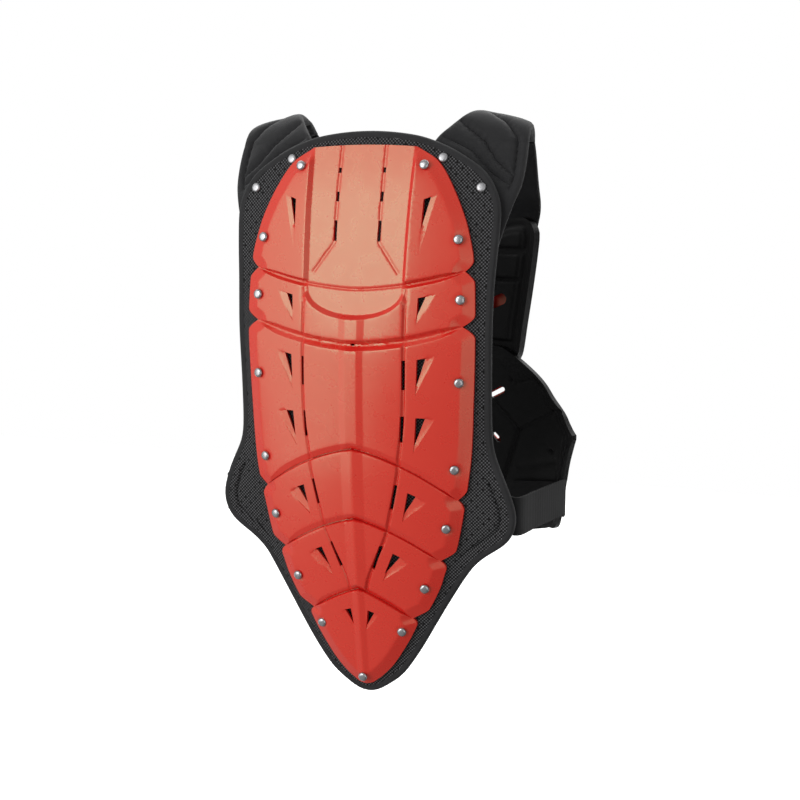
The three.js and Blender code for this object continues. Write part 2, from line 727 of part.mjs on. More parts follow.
// A shell that follows the front curve between an upper and a lower edge.
function frontShell(edges, halfWidth, rowCount, layerIn, layerOut, margin, topMargin) {
  const shares = edges.map((edge) => edge.x);
  const mirrored = shares.slice(1).reverse().map((share) => -share).concat(shares);
  const columns = mirrored.map((share) => {
    const edge = edges[shares.indexOf(Math.abs(share))];
    const top = heightAt(edge.top);
    const low = heightAt(edge.low);
    const inset = Math.min(margin, 0.4 * (top - low));
    const topInset = Math.min(topMargin, 0.4 * (top - low));
    return { x: share * (halfWidth - margin), top: top - topInset, low: low + inset };
  });
  const face = (layer) => {
    const rows = [];
    for (let i = 0; i <= rowCount; i += 1) {
      rows.push(columns.map((column) => (
        frontPoint(column.x, THREE.MathUtils.lerp(column.top, column.low, i / rowCount), layer)
      )));
    }
    return rows;
  };
  return solidBetween(face(layerOut), face(layerIn));
}

// A round-ended hole along X, cut from front to back.
function frontSlotTool(slot, sign) {
  const radius = slot.high / 2;
  const near = slot.nearX * wingSpan + radius;
  const far = slot.farX * wingSpan - radius;
  const shape = new THREE.Shape();
  shape.absarc(far, 0, radius, -Math.PI / 2, Math.PI / 2, false);
  shape.absarc(near, 0, radius, Math.PI / 2, 1.5 * Math.PI, false);
  const through = { depth: restToChest, bevelEnabled: false, curveSegments: 5 };
  const tool = new THREE.ExtrudeGeometry(shape, through);
  tool.rotateX(Math.PI / 2);
  if (sign < 0) tool.rotateZ(Math.PI);
  const z = heightAt(slot.at);
  tool.translate(0, (sign < 0 ? -3 : -1) * (restToChest / 2), z);
  return tool;
}

// The belt leaves the inside of the pad's hip, turns at the wing's edge and ends on the liner.
function waistBelt(sign) {
  const hip = heightAt(beltAt.hip);
  const hipX = beltX.hip * plateHalfWidth;
  const rim = padHalfAt(hip);
  const half = beltWidth / 2;
  const nearest = (x) => Math.min(padInnerY(x, hip + half), padInnerY(x, hip), padInnerY(x, hip - half));
  const behind = (x) => nearest(x) - (bindingThick - padEdgeThick) / 2 - gap - beltThick / 2;
  const wrapX = beltX.wrap * wingSpan;
  const inside = -(seat + beltThick / 2);
  const wrap = frontPoint(wrapX, 0, inside);
  const onLiner = (share) => (
    frontPoint(wingSpan * THREE.MathUtils.lerp(beltX.inside, beltX.end, share), 0, inside)
  );
  const lead = new THREE.Vector3(rim, behind(rim), 0);
  const turn = new THREE.Vector3(wrapX, wrap.y + beltTurn, 0);
  const route = [
    new THREE.Vector3(hipX, behind(hipX), 0),
    new THREE.Vector3((hipX + rim) / 2, behind((hipX + rim) / 2), 0),
    lead,
    lead.clone().lerp(turn, 0.35),
    lead.clone().lerp(turn, 0.7),
    turn,
    new THREE.Vector3(wrapX - gap, wrap.y + beltTurn / 2, 0),
    onLiner(0),
    onLiner(0.25),
    onLiner(0.5),
    onLiner(0.75),
    onLiner(1),
  ];
  const turnIndex = route.length - 6;
  const rows = route.map((p, i) => {
    const t = i <= turnIndex ? i / turnIndex : (i - turnIndex) / (route.length - 1 - turnIndex);
    const ends = i <= turnIndex ? [beltAt.hip, beltAt.wrap] : [beltAt.wrap, beltAt.end];
    const z = heightAt(THREE.MathUtils.lerp(ends[0], ends[1], t));
    return [-0.5, 0.5].map((share) => new THREE.Vector3(sign * p.x, p.y, z + share * beltWidth));
  });
  return strip(rows, () => beltThick);
}

// A low domed cap, its flat underside just clear of what it is pressed on.
function cap(name, seatPoint, normal) {
  const profile = [[0, 0], [1, 0], [0.8, 0.65], [0, 1]].map(([r, h]) => (
    new THREE.Vector2(r * capRadius, h * capHeight)
  ));
  const lathe = new THREE.LatheGeometry(profile, 10);
  lathe.deleteAttribute('normal');
  lathe.deleteAttribute('uv');
  const mesh = addPiece(name, mergeVertices(lathe, 1e-3), steel);
  mesh.quaternion.setFromUnitVectors(new THREE.Vector3(0, 1, 0), normal);
  mesh.position.copy(seatPoint).addScaledVector(normal, gap);
}

// A point and normal on the back, a given height above the flanges.
function backSeat(x, z, rise) {
  const step = capRadius;
  const slopeX = (backY(x + step, z) - backY(x - step, z)) / (2 * step);
  const slopeZ = (backY(x, z + step) - backY(x, z - step)) / (2 * step);
  const normal = new THREE.Vector3(-slopeX, 1, -slopeZ).normalize();
  return { point: new THREE.Vector3(x, backY(x, z) + rise, z), normal };
}

function number(i) {
  return String(i).padStart(2, '0');
}

addPiece('back_plate', backPlate(), red);
addPiece('back_pad', backPad(), blackMesh);
addPiece('back_binding', backBinding(), blackCloth);

rivets.forEach((rivet, i) => {
  bothSides.forEach((sign, side) => {
    const rise = sectionRise + cheekRise * rivet.cheek;
    const place = backSeat(sign * rivet.x * plateHalfWidth, heightAt(rivet.at), rise);
    cap(`back_rivet_${number(2 * i + side + 1)}`, place.point, place.normal);
  });
});
const tipRise = sectionRise + bandRise + keelRise * sections.at(-1).keel;
const tipSeat = backSeat(0, heightAt(tipRivetAt), tipRise);
cap(`back_rivet_${number(2 * rivets.length + 1)}`, tipSeat.point, tipSeat.normal);

snaps.forEach((snap, i) => {
  bothSides.forEach((sign, side) => {
    const place = backSeat(sign * snap.x * plateHalfWidth, heightAt(snap.at), -plateWall - seat);
    cap(`strap_snap_${2 * i + side + 1}`, place.point, place.normal);
  });
});

addPiece('shoulder_pad_left', shoulderPad(1), blackCloth);
addPiece('shoulder_pad_right', shoulderPad(-1), blackCloth);
addPiece('front_strap_left', frontStrap(1), elastic);
addPiece('front_strap_right', frontStrap(-1), elastic);

const chestLiner = frontShell(chestEdges, chestHalfWidth, 8, chestInner, chestOuter, 0, 0);
const chestSlots = bothSides.map((sign) => frontSlotTool(chestSlot, sign));
addPiece('chest_liner', carve(chestLiner, [], chestSlots), blackFoam);
const chestPlate = frontShell(
  chestEdges,
  chestHalfWidth,
  6,
  chestPlateInner,
  chestPlateInner + frontWall,
  frontMargin,
  frontMargin,
);
addPiece('chest_plate', chestPlate, red);
const bellyLiner = frontShell(bellyEdges, wingSpan, 8, 0, bellyFoam, 0, 0);
const bellySlots = bothSides.map((sign) => frontSlotTool(bellySlot, sign));
addPiece('belly_liner', carve(bellyLiner, [], bellySlots), blackFoam);
const bellyPlate = frontShell(
  bellyEdges,
  wingSpan,
  6,
  bellyPlateInner,
  bellyPlateInner + frontWall,
  frontMargin,
  bellyPlateDrop,
);
addPiece('belly_plate', carve(bellyPlate, [], bellySlots), red);

frontRivets.forEach((rivet, i) => {
  bothSides.forEach((sign, side) => {
    const x = sign * rivet.x * wingSpan;
    const layer = (rivet.plate === 'chest' ? chestPlateInner : bellyPlateInner) + frontWall;
    const point = frontPoint(x, heightAt(rivet.at), layer);
    const normal = point.clone().sub(frontPoint(x, heightAt(rivet.at), 0)).normalize();
    cap(`front_rivet_${number(2 * i + side + 1)}`, point, normal);
  });
});

addPiece('waist_belt_left', waistBelt(1), elastic);
addPiece('waist_belt_right', waistBelt(-1), elastic);

export default deflector;
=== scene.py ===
"""The looks of a roost deflector: a red moulded back plate on a black mesh pad, padded
shoulders, foam-lined front plates and elastic waist belts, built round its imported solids.
Lengths in the tables are millimetres, and meshes are made in metres. +Z is up, +Y is the
wearer's back and +X the wearer's left.
"""

import math

import bmesh
import bpy
import numpy as np
from mathutils import Matrix, Vector
from mathutils.geometry import delaunay_2d_cdt
from mathutils.kdtree import KDTree


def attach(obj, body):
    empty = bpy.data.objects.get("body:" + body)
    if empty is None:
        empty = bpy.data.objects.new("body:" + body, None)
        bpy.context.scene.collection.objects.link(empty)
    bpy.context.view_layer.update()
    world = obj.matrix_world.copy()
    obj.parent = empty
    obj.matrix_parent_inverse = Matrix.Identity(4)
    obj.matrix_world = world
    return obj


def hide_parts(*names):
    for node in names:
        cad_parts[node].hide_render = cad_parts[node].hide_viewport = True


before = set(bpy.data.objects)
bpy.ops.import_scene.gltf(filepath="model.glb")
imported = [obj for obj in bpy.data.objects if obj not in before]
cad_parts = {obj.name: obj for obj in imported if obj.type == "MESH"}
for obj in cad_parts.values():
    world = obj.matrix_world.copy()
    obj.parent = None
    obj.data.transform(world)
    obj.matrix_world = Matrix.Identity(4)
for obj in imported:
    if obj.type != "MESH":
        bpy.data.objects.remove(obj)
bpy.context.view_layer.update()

MM = 0.001

# The camera stands where the photograph was taken from.
CAMERA_AT = (-481.3, 1292.3, -61.6)
CAMERA_RIGHT = (-0.9397, -0.3420, 0)
CAMERA_BACK = (-0.3374, 0.9271, 0.1633)
LENS = 56.9
FLOOR_AT = -1400
ROOM_LIGHT = (0.18, 0.6)
ROOM_BRIGHT_SIDE = (0.72, 0.25, 0.5)

# The back plate and where the back lies
PLATE_LENGTH = 574
PLATE_HALF = 124
PLATE_WALL = 3
SECTION_RISE = 4
CHEEK_RISE = 2
BAND_RISE = 1.5
PANEL_WALL = 4
LENS_DEPTH = 26
BEVEL_RUN = 12
CORNER_CUT = 11
SLOT_WIDTH = 3.4
CHANNEL_DEPTH = 1.3
JOINT_DEPTH = 1.2
JOINT_HALF = 2.1
LINE_DEPTH = 0.7
LINE_HALF = 1.8
LAP_GAP = 0.45
VENT_WALL = 0.5
SCOOP_SLOPE = 0.16
RIM_DISH = 7.5
REST_TO_TIP = 589.5
REST_TO_BACK = 112
SPINE_SAG = 38
CROSS_SAG = 24
CROSS_REACH = 0.89
SEAT = 0.7
GAP = 0.4
NOTCH_ROUND = 1.6
NOTCH_REACH = 19  # the finer triangles round a notch reach this far
BEVEL_SOFT = 0.8
WALL_SOFT = 0.4
LAP_SOFT = 0.3
CHANNEL_WALLS = (-0.8, 1.2, 2.2, 3.6)
CHANNEL_SOFT = 0.3
PANEL_LEVEL_AT = 20  # the panel's floor is level with the flanges here
VENT_NEAR = 75  # a vent lies within this of its outer corner
DRAIN_AT = 0.651
DRAIN_HALF = (2.2, 1)
SIDES = (1, -1)

# The pads, straps, front plates and belts
PAD_THICK = 12
PAD_EDGE = 8
BINDING_WIDTH = 6.5
BINDING_THICK = 9
SHOULDER_REACH = 110
SHOULDER_THICK = 14
SHOULDER_EDGE = 5
SHOULDER_WIDE = 85
SHOULDER_LONG = 200
PUCKER = 0.3
STRAP_THICK = 3
REST_TO_CHEST = 140
WING_SPAN = 192.5
WING_WRAP = 86
CHEST_HALF = 130
BELLY_FOAM = 6
CHEST_FOAM = 8
FRONT_WALL = 3
FRONT_MARGIN = 14
FRONT_ROUND = 1.6
FRONT_ROUND_RUN = 6
FRONT_CHANNEL = 0.9
FRONT_CHANNEL_AT = 15
FRONT_CHANNEL_HALF = 1.8
CUT_DEPTHS = (-220, -20)  # from before the front to behind its wings
CLOTH_ROW = 4.0  # height of the rows in which the cloth is laid out
BELLY_PLATE_DROP = 38
BELT_WIDTH = 40
BELT_THICK = 2.5
CAP_RADIUS = 5
CAP_HEIGHT = 3
CAP_RIM = 0.16
DISH_FLAT = CAP_RADIUS + 0.2
DISH_DEPTH = 0.6
CHEST_INNER = BELLY_FOAM + SEAT
CHEST_OUTER = CHEST_INNER + CHEST_FOAM

# Heights (at) are shares of PLATE_LENGTH up from the plate's tip.
SPINE = {
    "at": (-0.02, 0.13, 0.27, 0.4, 0.46, 0.58, 0.7, 0.88, 1.02),
    "sag": (0.95, 0.6, 0.3, 0.09, 0.04, 0, 0.09, 0.49, 1.06),
    "cross": (0.7, 0.7, 0.7, 0.7, 0.68, 0.6, 0.48, 0.39, 0.36),
    "flank": (1, 1, 0.4, 0.5, 1.8, 2.3, 1.7, 1.6, 1.6),
}
PLATE_FLANK = {
    "at": (0.006, 0.022, 0.048, 0.099, 0.13, 0.158, 0.205, 0.243, 0.267, 0.294, 0.388, 0.456,
           0.548, 0.656, 0.748, 0.804, 0.83, 0.874, 0.933, 0.973, 0.996),
    "half": (0.081, 0.169, 0.274, 0.419, 0.492, 0.585, 0.694, 0.754, 0.815, 0.855, 0.935, 0.974,
             0.992, 1.004, 0.994, 0.972, 0.948, 0.887, 0.758, 0.625, 0.452),
}
# Lines between the sections: height at the centre and the side, half-width there, how straight
# the arms are, the flat floor's half-width, and the runs of the walls above and below it.
# The last three are laps, whose crease (lap) lies part of the way up.
GROOVE_COLUMNS = ("crown", "side", "half", "straight", "floor", "above", "below", "lap")
GROOVE_ROWS = (
    (0.748, 0.782, 0.911, 0.2, 0.9, 3.1, 2.6, 0),
    (0.65, 0.687, 0.903, 0.15, 1.1, 4.3, 4.3, 0),
    (0.464, 0.376, 0.865, 0.36, 0.3, 6.5, 1.2, 0.5),
    (0.333, 0.26, 0.71, 0.44, 0.3, 6, 1.2, 0.5),
    (0.197, 0.144, 0.46, 0.69, 0.3, 5, 1.2, 0.5),
)
GROOVES = [dict(zip(GROOVE_COLUMNS, row)) for row in GROOVE_ROWS]
# The keel of each section from the top down: its rise, and the half-widths of its top and foot.
KEELS = ((0, 12, 14), (1.3, 6.3, 14), (1.7, 6.3, 13), (2, 1.4, 12), (2, 1.2, 11), (1.5, 1, 7))
# A pair of lines on the panel, from the top to the side, as shares of PLATE_HALF and heights
PANEL_LINE = ((0.194, 1.01), (0.194, 0.83), (0.37, 0.778))
PANEL_SIDE = {
    "at": (0.745, 0.76, 0.88, 0.996),
    "half": (51.0, 51.2, 52.5, 54.2),
}
RIDGE = {
    "at": (0.0, 0.201, 0.302, 0.321, 0.422, 0.443, 0.53, 0.727),
    "half": (3.7, 8.7, 31.6, 34.5, 46.9, 47.7, 53.1, 53.8),
}
# Vents, one row a pair, as shares of PLATE_HALF and heights: the outer corner, the hole's two
# upper corners and lower tip, and the vent's tip.
VENTS = (
    ((0.665, 0.914), (0.559, 0.905), (0.615, 0.909), (0.556, 0.857), (0.542, 0.806)),
    ((0.701, 0.745), (0.55, 0.736), (0.611, 0.738), (0.548, 0.706), (0.543, 0.689)),
    ((0.706, 0.638), (0.553, 0.629), (0.621, 0.631), (0.547, 0.581), (0.543, 0.566)),
    ((0.704, 0.526), (0.544, 0.526), (0.617, 0.525), (0.529, 0.476), (0.523, 0.463)),
    ((0.624, 0.372), (0.466, 0.389), (0.534, 0.383), (0.428, 0.348), (0.416, 0.334)),
    ((0.461, 0.255), (0.323, 0.272), (0.385, 0.266), (0.244, 0.231), (0.227, 0.217)),
    ((0.177, 0.148), (0.077, 0.156), (0.135, 0.152), (0.062, 0.125), (0.05, 0.114)),
)
# Slots, one a pair: both ends, as shares of PLATE_HALF and heights
SLOTS = (
    ((0.196, 0.96), (0.195, 0.951)),
    ((0.194, 0.918), (0.192, 0.901)),
    ((0.194, 0.868), (0.19, 0.832)),
    ((0.443, 0.627), (0.443, 0.575)),
    ((0.433, 0.528), (0.422, 0.481)),
    ((0.372, 0.402), (0.327, 0.356)),
    ((0.226, 0.285), (0.145, 0.239)),
)
# Rivets and snaps, one a pair, as shares and heights, with a rivet's share of the cheek's rise
RIVETS = (
    (0.54, 0.964, 0.6), (0.856, 0.837, 0.1), (0.89, 0.734, 0), (0.89, 0.59, 0),
    (0.85, 0.434, 0), (0.773, 0.324, 0), (0.58, 0.207, 0), (0.368, 0.118, 0),
)
TIP_RIVET_AT = 0.019
SNAPS = ((0.665, 0.976), (0.993, 0.925))

PAD_FLANK = {
    "at": (-0.004, 0.018, 0.048, 0.091, 0.139, 0.182, 0.226, 0.255, 0.276, 0.295, 0.321, 0.353,
           0.379, 0.409, 0.443, 0.468, 0.53, 0.635, 0.759, 0.828, 0.893, 0.923, 0.952, 0.973,
           0.997, 1.014),
    "half": (0.177, 0.31, 0.415, 0.538, 0.661, 0.774, 0.895, 0.992, 1.113, 1.242, 1.319, 1.335,
             1.302, 1.25, 1.177, 1.137, 1.123, 1.125, 1.133, 1.151, 1.157, 1.109, 1.02, 0.887,
             0.694, 0.484),
}
PAD_TOP_AT = 1.025
HIP_SEAM_INSET = 9
HIP_SEAM_DEPTH = 3
PAD_TIP_AT = -0.021

# Stations of a shoulder pad: the neck edge and the arm edge, each as a share of PLATE_HALF, a
# height, and a share of SHOULDER_REACH ahead of the back pad.
SHOULDER = (
    (0.6, 0.888, 0, 1.11, 0.806, 0),
    (0.52, 0.945, 0, 1.185, 0.865, 0.01),
    (0.5, 0.984, 0.01, 1.234, 0.9, 0.03),
    (0.56, 1.011, 0.05, 1.274, 0.931, 0.08),
    (0.645, 1.032, 0.15, 1.286, 0.968, 0.12),
    (0.718, 1.048, 0.25, 1.282, 1.001, 0.17),
    (0.77, 1.055, 0.36, 1.274, 1.023, 0.26),
    (0.798, 1.054, 0.5, 1.258, 1.032, 0.4),
    (0.815, 1.046, 0.68, 1.234, 1.027, 0.57),
    (0.823, 1.029, 0.84, 1.21, 1.008, 0.72),
)
# Sewn channels of a shoulder pad: station and share from the neck edge to the arm edge
SHOULDER_SEAMS = (
    ((4.5, 0.06), (4.0, 0.45), (3.35, 0.68), (3.08, 0.9)),
    ((3.25, 0.06), (3.2, 0.4), (2.65, 0.7), (2.6, 0.9)),
    ((6.5, 0.3), (5.9, 0.6), (5.0, 0.84), (3.1, 0.9), (2.4, 0.9)),
    ((7.7, 0.06), (7.5, 0.5), (7.3, 0.94)),
)
# Steps of a front strap from the shoulder pad on: how far forward it is, and how far down
STRAP_RUN = (
    (0.004, 0.008), (0.18, 0.13), (0.4, 0.31), (0.66, 0.52), (0.9, 0.7), (1, 0.84), (1, 1),
)
# Its end's neck edge and arm edge, as shares of CHEST_HALF, and height
STRAP_END = (0.6, 0.96, 0.851)

CHEST_EDGES = {
    "at": (0, 0.23, 0.46, 0.72, 0.85, 0.9, 0.95, 0.985, 1),
    "top": (0.818, 0.823, 0.841, 0.863, 0.867, 0.866, 0.86, 0.848, 0.838),
    "low": (0.544, 0.544, 0.546, 0.565, 0.593, 0.661, 0.734, 0.792, 0.824),
}
BELLY_EDGES = {
    "at": (0, 0.12, 0.24, 0.36, 0.478, 0.577, 0.706, 0.78, 0.842, 0.899, 0.93, 0.956, 0.982, 1),
    "top": (0.6, 0.602, 0.605, 0.607, 0.607, 0.591, 0.564, 0.544, 0.52, 0.501, 0.489, 0.475,
            0.463, 0.457),
    "low": (0.238, 0.238, 0.238, 0.239, 0.24, 0.241, 0.245, 0.252, 0.26, 0.272, 0.337, 0.393,
            0.428, 0.449),
}
CHEST_PLAN = (CHEST_EDGES, CHEST_HALF)
BELLY_PLAN = (BELLY_EDGES, WING_SPAN)
# Raised blocks of the chest liner's inner face, from top to bottom, as heights, and how far the
# blocks, their inner steps and the bound edge stand up
CHEST_BLOCKS = ((0.9, 0.807), (0.796, 0.746), (0.741, 0.62))
BLOCK_RISE, STEP_RISE, BOUND_RISE = 2.1, 1.2, 0.8
# Sewn ribs of the belly liner: how deep they are and how far in from its edge
BELLY_RIB = 0.8
BELLY_RIBS = (5.5, 9.5)
CREASE_SOFT = 11
# Creases of the belly liner's inner face: half-width, depth and the depth of the soft hollow
# round it, then the line, as shares of WING_SPAN and heights. A negative depth stands up.
BELLY_CREASES = (
    (2, 2.0, 1.6, ((0.59, 0.538), (0.699, 0.551), (0.76, 0.535))),
    (2, 2.0, 1.6, ((0.3, 0.53), (0.465, 0.483), (0.595, 0.445), (0.857, 0.497), (0.93, 0.5))),
    (2, 2.0, 1.6, ((0.6, 0.442), (0.514, 0.347), (0.47, 0.29))),
    (3, -1.2, 0, ((0.494, 0.581), (0.616, 0.552))),
    (4.5, 1.4, 0.3, ((0.626, 0.368), (0.865, 0.397))),
    (1.8, 3.5, 0, ((0.553, 0.542), (0.554, 0.542))),
    (2.2, 3.5, 0, ((0.844, 0.416), (0.845, 0.416))),
)
# Openings with round ends: both ends as shares of WING_SPAN and heights, and the width
CHEST_CUTS = (
    ((0.4, 0.693), (0.47, 0.704), 13),
    ((0.457, 0.832), (0.458, 0.832), 3),
    ((0.421, 0.73), (0.422, 0.73), 3.4),
)
BELLY_CUTS = (((0.424, 0.508), (0.487, 0.52), 8.5), ((0.446, 0.424), (0.466, 0.417), 7))
BELLY_SHELL_CUTS = (((0.395, 0.5025), (0.484, 0.5192), 5), ((0.43, 0.424), (0.452, 0.418), 4))
# Front rivets, one a pair, as shares of WING_SPAN and heights
FRONT_RIVETS = (
    (0.55, 0.8, "chest"), (0.53, 0.7, "chest"), (0.42, 0.6, "chest"),
    (0.35, 0.5, "belly"), (0.68, 0.42, "belly"), (0.45, 0.29, "belly"),
)
# Heights of a waist belt at the hip, the wing's edge and its end, and its places from the middle:
# the hip as a share of PLATE_HALF, then the wing's edge and both ends inside it of WING_SPAN
BELT_AT = (0.354, 0.337, 0.302)
BELT_X = (1.09, 0.962, 0.93, 0.582)
BELT_TURN = 10


def height_at(share):
    """Height of a share of the plate's length, measured from its tip."""
    return share * PLATE_LENGTH - REST_TO_TIP


def share_at(z):
    return (z + REST_TO_TIP) / PLATE_LENGTH


def along(table, column, at):
    """A smooth curve through one column of a table, at one place or at many."""
    xs, ys = np.array(table["at"], float), np.array(table[column], float)
    last = len(xs) - 1
    x = np.clip(at, xs[0], xs[-1])
    i = np.clip(np.searchsorted(xs, x, side="left") - 1, 0, last - 1)
    before, after = np.maximum(np.arange(last + 1) - 1, 0), np.minimum(np.arange(last + 1) + 1, last)
    slope = (ys[after] - ys[before]) / (xs[after] - xs[before])
    width = xs[i + 1] - xs[i]
    t = (x - xs[i]) / width
    h1 = t * t * (3 - 2 * t)
    h2 = t * (1 - t) ** 2 * width
    h3 = t * t * (t - 1) * width
    return ys[i] * (1 - h1) + ys[i + 1] * h1 + slope[i] * h2 + slope[i + 1] * h3


def smoothstep(x, low, high):
    t = np.clip((x - low) / (high - low), 0, 1)
    return t * t * (3 - 2 * t)


def mix(a, b, t):
    return a + (b - a) * t


def back_y(x, z):
    """The plate's flanges and groove bottoms, which everything at the back follows."""
    at = share_at(z)
    t = np.abs(x) / (CROSS_REACH * PLATE_HALF)
    across = np.where(t < 1, t * t, 1 + along(SPINE, "flank", at) * (t - 1))
    sag = SPINE_SAG * along(SPINE, "sag", at)
    return REST_TO_BACK - sag - CROSS_SAG * along(SPINE, "cross", at) * across


def pad_outer_y(x, z):
    return back_y(x, z) - PLATE_WALL - SEAT


def pad_half(z):
    return PLATE_HALF * along(PAD_FLANK, "half", share_at(z))


def pad_inner_y(x, z):
    rim = smoothstep(np.abs(x) / pad_half(z), 0.6, 0.95)
    return pad_outer_y(x, z) - mix(PAD_THICK, PAD_EDGE, rim)


def front_point(x, z, layer):
    """A point on the curve that the front follows, a layer out from the wearer."""
    sharp = 2 * WING_WRAP * x / WING_SPAN ** 2
    y = WING_WRAP * x * x / WING_SPAN ** 2 - REST_TO_CHEST
    scale = layer / np.hypot(1, sharp)
    return np.stack([x + sharp * scale, y - scale, z + 0 * x], -1)


def bend(u, soft):
    """Flat before zero and rising after it, rounded over soft on both sides."""
    return np.where(u < -soft, 0, np.where(u > soft, u, (u + soft) ** 2 / (4 * soft)))


def ramp(d, start, end, soft):
    """From 0 at start to 1 at end, with rounded corners."""
    return (bend(d - start, soft) - bend(d - end, soft)) / (end - start)


# Meshes

def add_object(name, data):
    thing = bpy.data.objects.new(name, data)
    bpy.context.scene.collection.objects.link(thing)
    return thing


def smooth_mesh(name, points, faces, look, sharp):
    """A mesh from points in millimetres, smooth but for edges sharper than an angle."""
    mesh = bpy.data.meshes.new(name)
    mesh.from_pydata((np.asarray(points) * MM).tolist(), [], faces)
    mesh.validate()
    fix = bmesh.new()
    fix.from_mesh(mesh)
    bmesh.ops.remove_doubles(fix, verts=fix.verts, dist=1e-7)
    bmesh.ops.recalc_face_normals(fix, faces=fix.faces)
    fix.to_mesh(mesh)
    fix.free()
    mesh.polygons.foreach_set("use_smooth", [True] * len(mesh.polygons))
    mesh.set_sharp_from_angle(angle=math.radians(sharp))
    mesh.materials.append(look)
    return mesh


def dress(thing, slot, node):
    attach(thing, "root")
    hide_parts(node)
    return thing


def piece(name, points, faces, look, slot, node, sharp=50):
    """A piece that rides on the body and stands for one solid."""
    return dress(add_object(name, smooth_mesh(name, points, faces, look, sharp)), slot, node)


def apply_modifiers(thing):
    shown = thing.evaluated_get(bpy.context.evaluated_depsgraph_get())
    mesh = bpy.data.meshes.new_from_object(shown)
    thing.modifiers.clear()
    thing.data = mesh


def grid_faces(rows, cols, start=0, closed=False):
    i, j = np.meshgrid(np.arange(rows - 1), np.arange(cols if closed else cols - 1), indexing="ij")
    a = start + i * cols + j
    b = start + i * cols + (j + 1) % cols
    return np.stack([a, a + cols, b + cols, b], -1).reshape(-1, 4)


def band(first, last):
    """Faces between two closed loops of points."""
    return np.stack([first, np.roll(first, -1), np.roll(last, -1), last], -1)


def both(outer, inner):
    return np.concatenate([outer.reshape(-1, 3), inner.reshape(-1, 3)])


def between(outer, inner):
    """Points and faces of the closed solid between two grids of the same shape."""
    rows, cols = outer.shape[:2]
    n = rows * cols
    grid = np.arange(n).reshape(rows, cols)
    rim = np.concatenate([grid[0, :-1], grid[:-1, -1], grid[-1, :0:-1], grid[:0:-1, 0]])
    faces = [grid_faces(rows, cols), grid_faces(rows, cols, n)[:, ::-1], band(rim, rim + n)]
    return both(outer, inner), np.concatenate(faces).tolist()


def slab(name, middle, thickness, look, slot, node, sharp=50):
    """A piece with a thickness, round a grid of points in its middle."""
    normal = np.cross(np.gradient(middle, axis=0), np.gradient(middle, axis=1))
    normal /= np.linalg.norm(normal, axis=-1, keepdims=True)
    half = normal * thickness / 2
    return piece(name, *between(middle + half, middle - half), look, slot, node, sharp)


def refine(rows, count):
    """More rows, on a smooth curve through the given ones."""
    rows = np.asarray(rows, float)
    given = np.arange(len(rows))
    at = np.linspace(0, len(rows) - 1, count)
    columns = rows.reshape(len(rows), -1).T
    made = [along({"at": given, "value": column}, "value", at) for column in columns]
    return np.stack(made, -1).reshape((count,) + rows.shape[1:])


def pairs(x, z):
    return np.stack([x, z], -1)


def square(run):
    """Unit directions square to the given ones, in the plane of X and Z."""
    run = run / np.linalg.norm(run, axis=-1, keepdims=True)
    return pairs(run[..., 1], -run[..., 0])


# Materials

def material(name, colour, roughness, **sockets):
    """A material, and the nodes that wire it."""
    made = bpy.data.materials.new(name)
    made.use_nodes = True
    n = Nodes(made.node_tree, "Principled BSDF")
    n.wire("Base Color", (*colour, 1))
    n.wire("Roughness", roughness)
    for socket, value in sockets.items():
        n.wire(socket.replace("_", " "), value)
    return made, n


class Nodes:
    """Short calls for wiring a tree of nodes that ends in one shader."""

    def __init__(self, tree, shader):
        self.tree = tree
        self.shader = tree.nodes[shader]

    def add(self, kind, values=(), **settings):
        node = self.tree.nodes.new(kind)
        for key, value in settings.items():
            setattr(node, key, value)
        for key, value in dict(values).items():
            self.put(node.inputs[key], value)
        return node

    def put(self, socket, value):
        if isinstance(value, bpy.types.NodeSocket):
            self.tree.links.new(value, socket)
        else:
            socket.default_value = value

    def math(self, operation, *values, clamp=False):
        settings = {"operation": operation, "use_clamp": clamp}
        return self.add("ShaderNodeMath", enumerate(values), **settings).outputs[0]

    def place(self, kind="Object"):
        return self.add("ShaderNodeTexCoord").outputs[kind]

    def noise(self, scale, detail):
        values = {"Vector": self.place(), "Scale": scale, "Detail": detail}
        return self.add("ShaderNodeTexNoise", values).outputs["Fac"]

    def blend(self, amount, low, high):
        """A colour between two others, by the mix node's colour sockets."""
        values = {"Factor_Float": amount, "A_Color": (*low, 1), "B_Color": (*high, 1)}
        node = self.add("ShaderNodeMix", data_type="RGBA")
        for socket in node.inputs:
            if socket.identifier in values:
                self.put(socket, values[socket.identifier])
        return [socket for socket in node.outputs if socket.type == "RGBA"][0]

    def level(self, amount, low, high, new_low, new_high):
        names = ("Value", "From Min", "From Max", "To Min", "To Max")
        values = zip(names, (amount, low, high, new_low, new_high))
        return self.add("ShaderNodeMapRange", values).outputs[0]

    def bump(self, height, distance, strength):
        values = {"Height": height, "Distance": distance, "Strength": strength}
        return self.add("ShaderNodeBump", values).outputs[0]

    def wire(self, socket, value):
        self.put(self.shader.inputs[socket], value)


def red_plastic(name, roughness, index, red):
    made, n = material(name, (red, 0.013, 0.011), roughness, IOR=index, Specular_Tint=RED_GLOSS)
    light, dark = (red + 0.01, 0.014, 0.012), (red - 0.01, 0.012, 0.01)
    n.wire("Base Color", n.blend(n.noise(9, 3), light, dark))
    n.wire("Roughness", n.level(n.noise(60, 4), 0.3, 0.7, roughness - 0.02, roughness + 0.02))
    n.wire("Normal", n.bump(n.noise(1500, 2), 0.00002, 0.1))
    return made


